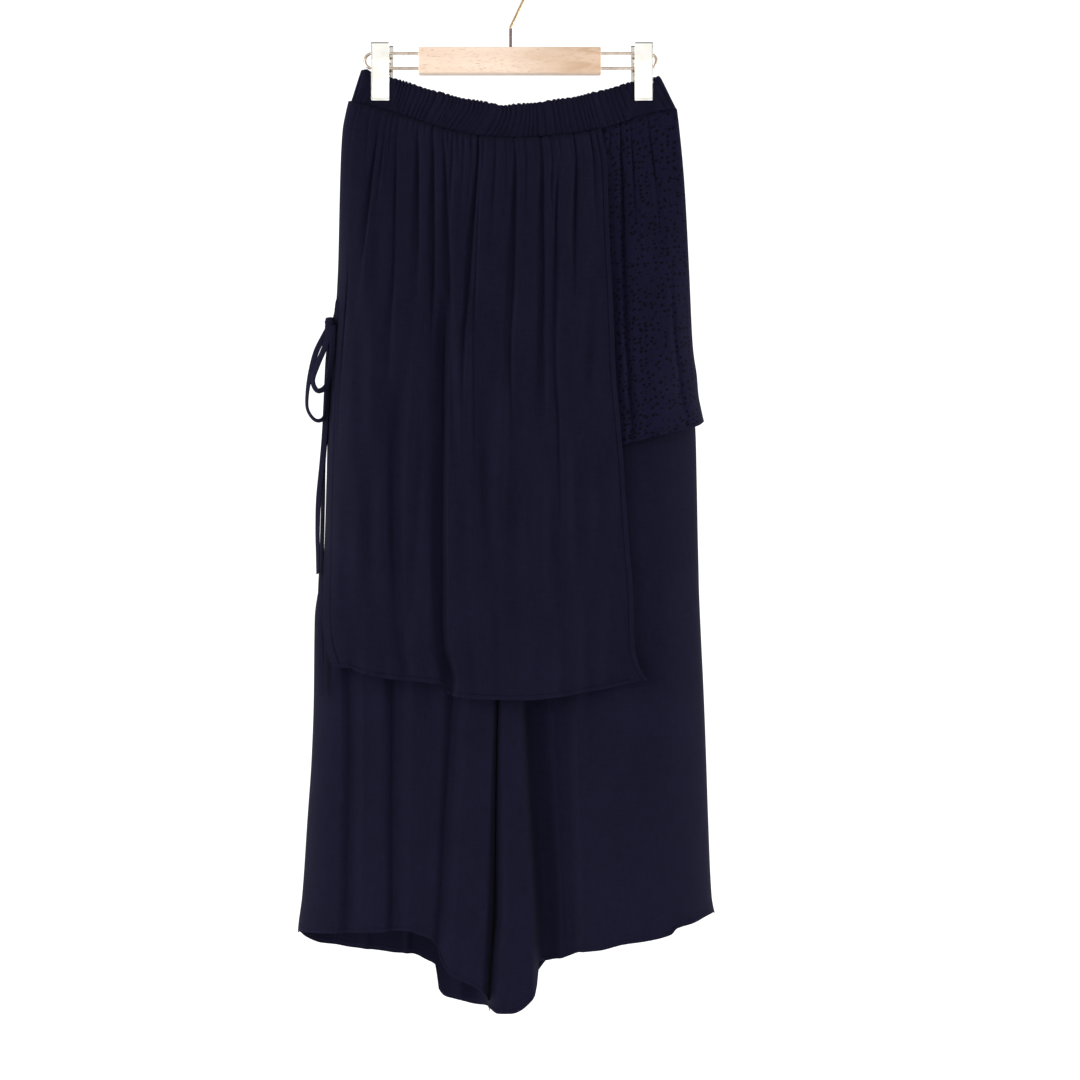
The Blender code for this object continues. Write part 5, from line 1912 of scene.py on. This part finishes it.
class Culottes:
    """The garment: its band, legs, apron and dotted panel, with the folds of each.

    A fold's row gives its place across, half width, depth, start and end, then its skew, wander,
    pinch, drawn share, lean, floor and where the lean starts, as far as they aren't the usual ones.
    """

    apron_creases = (
        Crease(0.050, 3.4, 2.2, -290, -560, 0.2, 0.1),
        Crease(0.135, 6.5, 3, -120, -390, 0.5, 0.1, lean=-0.08),
        Crease(0.165, 5, 2.6, -120, -310, 0.2, 0.1, lean=-0.06),
        Crease(0.208, 6, 2.2, -150, -490, 0.4, 0.2, lean=0.04),
        Crease(0.293, 6.5, 3.4, -120, -390, 0.55, 0.1, lean=0.04),
        Crease(0.355, 6, 3.4, -120, -500, 0.5, 0.2, lean=0.040),
        Crease(0.394, 5.5, 3, -120, -500, 0.4, 0.1, lean=0.085),
        Crease(0.430, 5, 2.8, -120, -320, 0.2, 0.1),
        Crease(0.470, 4.6, 2, -120, -300, 0.2, 0.1),
        Crease(0.496, 4.6, 2, -120, -310, 0.2, 0.1),
        Crease(0.522, 5.5, 3.9, -120, -520, 0.3, 0.2, lean=-0.014),
        Crease(0.531, 3.6, 1.5, -190, -640, 0.2, 0.1, lean=0.016),
        Crease(0.583, 5.4, 2.8, -120, -330, 0.2, 0.2),
        Crease(0.626, 4.6, 2.2, -120, -300, 0.2, 0.2),
        Crease(0.658, 6.5, 3.5, -120, -620, 0.4, 0.2, lean=0.006),
        Crease(0.706, 5, 2.6, -120, -310, 0.2, 0.1),
        Crease(0.766, 6.5, 3.7, -120, -520, 0.5, 0.2),
        Crease(0.800, 5, 3.4, -120, -330, 0.3, 0.1),
        Crease(0.824, 5.6, 2.7, -170, -700, 0.4, 0.2, lean=-0.016),
        Crease(0.888, 6, 3.6, -120, -410, 0.4, 0.2, lean=-0.02),
        Crease(0.950, 5.4, 2.8, -120, -320, 0.2, 0.2),
        Crease(0.286, 14, 5.4, -400, -790, 0, 0.2, 1, 0, 0.02, 1.7, -540),
        Crease(0.422, 13, 9.6, -330, -880, 0.52, 0.08, 1, 0.3, 0.014, 1.3, -540),
        Crease(0.353, 9, 1.8, -370, -700, 0, 0.2, 1, 0, floor=2),
        Crease(0.479, 8, 1.8, -370, -700, 0, 0.2, 1, 0, floor=2),
        Crease(0.605, 15, 3, -380, -760, 0, 0.2, 1, 0, floor=2),
        Crease(0.680, 13, 3, -380, -760, 0, 0.2, 1, 0, floor=2),
        Crease(0.790, 13, 2.4, -440, -780, 0, 0.2, 1, 0, floor=2),
    )
    dotted_front_creases = (
        Crease(0.462, 5, 3.4, -120, -600, 0.2, 0.1),
        Crease(0.552, 3.6, 2.6, -120, -330, 0.1, 0.2, lean=0.02),
        Crease(0.640, 3.4, 1.6, -120, -230, 0.1, 0.2),
        Crease(0.735, 4, 2.8, -120, -330, 0.1, 0.2, lean=0.05),
        Crease(0.850, 6, 2.2, -300, -560, 0.2, 0.2),
    )
    dotted_back_creases = (
        Crease(0.06, 5, 2.6, -120, -300, 0.3, 0.3),
        Crease(0.12, 6, 3.4, -120, -420, 0.3, 0.3),
        Crease(0.20, 6, 4.2, -120, -560, -0.3, 0.3),
        Crease(0.26, 5, 2.8, -120, -290, 0.3, 0.3),
        Crease(0.33, 6, 3.6, -120, -380, 0.2, 0.3),
        Crease(0.42, 7, 4.4, -120, -560, 0.3, 0.3),
        Crease(0.48, 5, 3, -120, -300, -0.2, 0.3),
        Crease(0.55, 6, 3.8, -120, -420, -0.2, 0.3),
        Crease(0.61, 5, 2.6, -120, -280, 0.2, 0.3),
        Crease(0.67, 7, 4.4, -120, -560, 0.3, 0.3),
        Crease(0.75, 5, 3, -120, -310, 0.2, 0.3),
        Crease(0.82, 6, 3.4, -120, -360, 0.2, 0.3),
        Crease(0.90, 6, 3.6, -120, -500, -0.3, 0.3),
    )
    left_front_creases = (
        Crease(0.182, 15, 6, -600, -1120, -0.35, 0.1, 1, 0.2, 0.055, 1.6, -600),
        Crease(0.444, 16, 7.6, -600, -1150, -0.35, 0.1, 1, 0.4, 0.034, 1.3, -600),
        Crease(0.818, 14, 6, -600, -1150, -0.30, 0.1, 1, 0.3, -0.035, 1.3, -600),
        Crease(0.300, 16, 2, -680, -1100, 0, 0.3, 1, 0),
        Crease(0.620, 16, 2.6, -640, -1100, 0, 0.3, 1, 0),
    )
    right_front_creases = (
        Crease(0.200, 20, 22, -560, -1300, -0.25, 0, 1, 0, 0.024, 2.6, -790),
        Crease(0.316, 7, 10, -560, -900, 0.1, 0, 1, 0.3, -0.014, 1.3, -700),
        Crease(0.292, 21, 14, -680, -1300, 0, 0, 1, 0, 0.02, 2.4, -790),
        Crease(0.440, 16, 2.4, -650, -900, 0.1, 0.3, 1, 0),
        Crease(0.620, 20, 1.6, -700, -980, 0, 0.3, 1, 0),
    )
    left_back_creases = (
        Crease(0.325, 8, 4, -430, -1150, 0.2, 0.2, 1, 0.3),
        Crease(0.560, 6, 4.6, -430, -1150, -0.2, 0.2, 1, 0.3),
        Crease(0.830, 10, 7, -430, -1150, 0.1, 0.2, 1, 0.3),
    )
    right_back_creases = (
        Crease(0.220, 12, 9, -430, -1150, 0.2, 0.2, 1, 0.3),
        Crease(0.520, 13, 10, -430, -1150, -0.2, 0.2, 1, 0.3),
        Crease(0.780, 12, 7, -430, -1150, 0.1, 0.2, 1, 0.3),
    )

    def band(self) -> list[ClothPanel]:
        """The waistband's front and back.

        Returns:
            The two panels.
        """
        columns = np.linspace(0.0, 1.0, 378)
        rows = np.concatenate(
            [np.linspace(-0.98, -0.1, 5), np.linspace(-0.06, 0.06, 9), np.linspace(0.1, 1.0, 17)]
        )
        plans = (("waistband_front", Side.FRONT, 0.0), ("waistband_back", Side.BACK, 1.7))
        cut = Cut(0.46, 0.076, held="gathered")
        return [
            BandWall(node, "navy_cloth", cut, columns, rows, side=side, seed=seed)
            for node, side, seed in plans
        ]

    def legs(self) -> list[ClothPanel]:
        """The four leg panels.

        Returns:
            The panels.
        """
        columns = stations(205.0, 1.35, EndSpacing(33.0, 24, 2.0), EndSpacing(30.0, 26, 2.0))
        strip = stations(205.0, 1.3, EndSpacing(33.0, 24, 2.0), EndSpacing(20.0, 20, 2.0))
        plain = stations(205.0, 2.4, EndSpacing(33.0, 18, 2.0), EndSpacing(30.0, 18, 2.0))
        fine = stations(870.0, 5.4, EndSpacing(12.0, 5), EndSpacing(14.0, 14))
        coarse = stations(870.0, 6.5, EndSpacing(12.0, 4), EndSpacing(14.0, 12))
        front, back = Side.FRONT, Side.BACK
        left, right = LegName.LEFT, LegName.RIGHT
        left_front, right_front = self.left_front_creases, self.right_front_creases
        left_back, right_back = self.left_back_creases, self.right_back_creases
        plans = (
            (front, left, columns, fine, left_front, HEM_LEFT_FRONT_ROWS, (6.0, 12.0), 3),
            (front, right, strip, fine, right_front, HEM_RIGHT_FRONT_ROWS, (11.0, 16.5), 4),
            (back, left, plain, coarse, left_back, HEM_LEFT_BACK_ROWS, (16.0, 19.2), 6),
            (back, right, plain, coarse, right_back, HEM_RIGHT_BACK_ROWS, (16.0, 19.2), 7),
        )
        cut = Cut(0.29, 0.90, 0.225)
        panels = []
        for side, leg, across, down, creases, hem, rounding, seed in plans:
            node = f"leg_{'front' if side is front else 'back'}_{leg.value}"
            panels.append(
                LegPanel(
                    node, "navy_cloth", cut, across, down, side=side, leg=leg, creases=creases,
                    hem=SmoothTable.of(hem), inner_rounding=rounding, drape=Drape(58.0, 1.9, seed),
                )
            )
        return panels

    def apron(self) -> ClothPanel:
        """The long front panel.

        Returns:
            The panel.
        """
        columns = stations(285.0, 1.05, EndSpacing(30.0, 28, 1.5), EndSpacing(8.0, 12))
        rows = stations(585.0, 4.3, EndSpacing(14.0, 11, 1.5), EndSpacing(9.0, 12))
        cut = Cut(0.40, 0.60, held="gathered")
        folds = self.apron_creases
        return ApronPanel("apron_panel", "navy_cloth", cut, columns, rows, creases=folds)

    def dotted(self) -> list[ClothPanel]:
        """The dotted panel's front and back.

        Returns:
            The two panels.
        """
        front_columns = stations(130.0, 1.1, EndSpacing(6.0, 4), EndSpacing(33.0, 24, 2.0))
        back_columns = stations(370.0, 1.3, EndSpacing(33.0, 20, 2.0), EndSpacing(33.0, 20, 2.0))
        rows = stations(330.0, 4.0, EndSpacing(12.0, 9, 1.5), EndSpacing(7.0, 9))
        return [
            DottedPanel(
                "dotted_panel_front", "dotted_cloth", Cut(0.17, 0.34, held="gathered"),
                front_columns, rows, creases=self.dotted_front_creases,
            ),
            DottedPanel(
                "dotted_panel_back", "dotted_cloth", Cut(0.48, 0.36, held="gathered"),
                back_columns, rows, side=Side.BACK, creases=self.dotted_back_creases,
                gathers=Gathers(7.6, 1.8, 1.8, (20.0, 120.0), 31),
                hem=SmoothTable.of(HEM_DOTTED_BACK_ROWS),
            ),
        ]

    def build(self, finishes: Finishes) -> None:
        """Make every cloth piece.

        Args:
            finishes: the garment's finishes.
        """
        for panel in [*self.band(), *self.legs(), self.apron(), *self.dotted()]:
            look = finishes.dotted if panel.slot == "dotted_cloth" else finishes.navy
            panel.build(look)


# Hanger


@dataclass
class ClipHanger:
    """The hanger: beech bar, two wire loops, two sprung clips, stem and hook.

    Attributes:
        rods_z: the upper and the lower rods' heights.
        bar_size: the bar's width, depth and height.
        bar_edge: its edges' easing.
        loop_x: how far out the loops bend round.
        clip_shift: how far inwards its back plate is shifted.
        plate_rows: heights, and how far out a plate stands there.
        plate_crown: how far it is crowned across.
        plate_corner: how far its corners are rounded.
        plate_edge: its edges' easing.
        hook_bend_z: the height where the hook bends off the stem.
        hook_foot: how far its foot goes below the bend.
        hook_leaves: the curl's first angle, in degrees.
        hook_ends: its last angle.
        fit_gap: the gap between two pieces that meet.
    """

    wire: float = 3.2
    rods_z: Pair = (-99.0, -114.7)
    bar_size: Point = (191.2, 15.0, 27.5)
    bar_centre: Point = (-0.8, 0.0, -107.25)
    bar_edge: float = 1.3
    loop_x: float = 145.1
    clip_width: float = 19.0
    clip_shift: float = 3.6
    plate: float = 1.0
    plate_rows: tuple[Pair, ...] = (
        (-89.3, 8.8), (-96.0, 7.6), (-107.0, 5.6), (-115.0, 4.9), (-122.0, 4.2),
        (-130.0, 3.5), (-144.0, 3.5), (-149.3, 3.75),
    )
    plate_crown: float = 0.25
    plate_corner: float = 0.9
    plate_edge: float = 0.22
    spring_radius: float = 2.75
    spring_length: float = 11.5
    spring_turns: int = 7
    spring_wire: float = 1.15
    hook_radius: float = 22.0
    hook_centre_z: float = -20.4
    hook_bend_z: float = -71.9
    hook_foot: float = 1.1
    hook_leaves: float = -25.3
    hook_ends: float = 206.0
    fit_gap: float = 0.35

    def bar(self, look: Material) -> None:
        """The bar: a planed beech batten with eased edges.

        Args:
            look: the bar's material.
        """
        block = bmesh.new()
        bmesh.ops.create_cube(block, size=1.0)
        bmesh.ops.scale(block, verts=block.verts, vec=Vector(self.bar_size) * MM)
        bmesh.ops.translate(block, verts=block.verts, vec=Vector(self.bar_centre) * MM)
        bmesh.ops.bevel(
            block, geom=list(block.edges), offset=self.bar_edge * MM, segments=3, profile=0.5,
            affect="EDGES", material=-1,
        )
        mesh = bpy.data.meshes.new("hanger_bar_beech")
        block.to_mesh(mesh)
        block.free()
        thing = new_object("hanger_bar_beech", mesh)
        mesh.set_sharp_from_angle(angle=math.radians(40.0))
        take_over(thing, look, "beech", "hanger_bar")

    def rods(self, look: Material) -> None:
        """On each side two rods leave the bar and meet in a round loop beyond the clip.

        Args:
            look: the rods' material.
        """
        upper, lower = self.rods_z
        radius = 0.5 * (upper - lower)
        middle = 0.5 * (upper + lower)
        steps = 24
        for name, sign in (("left", -1.0), ("right", 1.0)):
            start = self.bar_centre[0] + sign * (0.5 * self.bar_size[0] + self.fit_gap)
            turn = sign * self.loop_x
            points = [Vector((start, 0.0, upper)), Vector((0.5 * (start + turn), 0.0, upper))]
            for k in range(steps + 1):
                angle = math.radians(90.0 - 180.0 / steps * k)
                x = turn + sign * radius * math.cos(angle)
                points.append(Vector((x, 0.0, middle + radius * math.sin(angle))))
            points += [Vector((0.5 * (start + turn), 0.0, lower)), Vector((start, 0.0, lower))]
            thing = round_wire(f"hanger_rod_{name}", points, self.wire)
            take_over(thing, look, "brass", f"hanger_wire_{name}")

    def clip_wall(self, name: str, side: Side, centre_x: float) -> Piece:
        """One pressed plate of a clip.

        Args:
            name: the piece's name.
            side: the front or the back plate.
            centre_x: the middle of its width.

        Returns:
            The plate.
        """
        profile = SmoothTable.of(self.plate_rows)

        def place(across: Field, down: Field) -> Place:
            """Points across the plate's width and down its pressed profile.

            Args:
                across: shares across the plate.
                down: shares down it.

            Returns:
                The points.
            """
            z = profile.keys[-1] + (profile.keys[0] - profile.keys[-1]) * down
            rounded = self.plate_corner * (bell(down, 0.012) + bell(1.0 - down, 0.012))
            x = centre_x + (across - 0.5) * (self.clip_width - rounded)
            out = profile.at(z) + self.plate_crown * (1.0 - (2.0 * across - 1.0) ** 2)
            return x, side.value * out, z

        columns = np.linspace(0.0, 1.0, 9)
        rows = stations(60.0, 1.5, EndSpacing(1.5, 4), EndSpacing(1.5, 4))
        thing = bent_sheet(name, columns, rows, place, self.plate)
        edges = thing.modifiers.new("Eased edges", "BEVEL")
        edges.width = self.plate_edge * MM
        edges.segments = 2
        edges.limit_method = "ANGLE"
        edges.angle_limit = math.radians(50.0)
        return thing

    def spring(self, name: str, centre_x: float) -> Piece:
        """The coil of a torsion spring round the lower rod.

        Args:
            name: the piece's name.
            centre_x: the middle of its length.

        Returns:
            The spring.
        """
        radius = self.spring_radius
        count = self.spring_turns * 20
        points = []
        for k in range(count + 1):
            angle = 2.0 * math.pi * self.spring_turns * k / count
            x = centre_x + self.spring_length * (k / count - 0.5)
            z = self.rods_z[1] + radius * math.sin(angle)
            points.append(Vector((x, radius * math.cos(angle), z)))
        return round_wire(name, points, self.spring_wire)

    def clips(self, plate: Material, steel: Material) -> None:
        """Each clip: its front and back plate and its spring.

        Args:
            plate: the plates' material.
            steel: the springs' material.
        """
        for name, centre_x, shift in (
            ("left", FORM.clip_x[0], self.clip_shift),
            ("right", FORM.clip_x[1], -self.clip_shift),
        ):
            front = self.clip_wall(f"clip_plate_front_{name}", Side.FRONT, centre_x)
            take_over(front, plate, "brass", f"clip_front_{name}")
            back = self.clip_wall(f"clip_plate_back_{name}", Side.BACK, centre_x + shift)
            take_over(back, plate, "brass", f"clip_back_{name}")
            spring = self.spring(f"clip_coil_{name}", centre_x)
            take_over(spring, steel, "dark_steel", f"clip_spring_{name}")

    def hook(self, wire: Material, steel: Material) -> None:
        """The stem out of the bar, and the wire that slants from it and curls over.

        Args:
            wire: the hook's material.
            steel: the stem's material.
        """
        low = self.bar_centre[2] + 0.5 * self.bar_size[2] + self.fit_gap
        high = self.hook_bend_z - self.hook_foot - self.fit_gap
        heights = np.linspace(low, high, 5)
        stem = round_wire("hook_stem_steel", [Vector((0.0, 0.0, z)) for z in heights], self.wire)
        take_over(stem, steel, "dark_steel", "hook_stem")
        leave = math.radians(self.hook_leaves)
        start = Vector((0.0, 0.0, self.hook_bend_z))

        def on_curl(angle: float) -> Vector:
            """A point of the hook's curl."""
            z = self.hook_centre_z + self.hook_radius * math.sin(angle)
            return Vector((self.hook_radius * math.cos(angle), 0.0, z))

        foot = Vector((0.0, 0.0, self.hook_foot))
        points = [start - foot, start + foot / 3.0]
        points += [start.lerp(on_curl(leave), share) for share in (0.06, 0.35, 0.7)]
        steps = 48
        for k in range(steps + 1):
            points.append(on_curl(leave + (math.radians(self.hook_ends) - leave) * k / steps))
        hook = round_wire("hook_wire", points, self.wire)
        take_over(hook, wire, "brass", "hook")

    def build(self, finishes: Finishes) -> None:
        """Make the whole hanger.

        Args:
            finishes: the hanger's finishes.
        """
        self.bar(finishes.beech)
        self.rods(finishes.wire)
        self.clips(finishes.brass, finishes.steel)
        self.hook(finishes.hook, finishes.steel)


def main() -> None:
    """Build the studio, the tie, the garment and the hanger, in that order."""
    logging.basicConfig(level=logging.INFO, format="%(name)s %(message)s")
    studio = Studio()
    studio.camera()
    finishes = Finishes()
    Tie().build(finishes.tape)
    Culottes().build(finishes)
    ClipHanger().build(finishes)
    studio.backdrop(finishes.paper)
    studio.light()


if __name__ == "__main__":
    main()
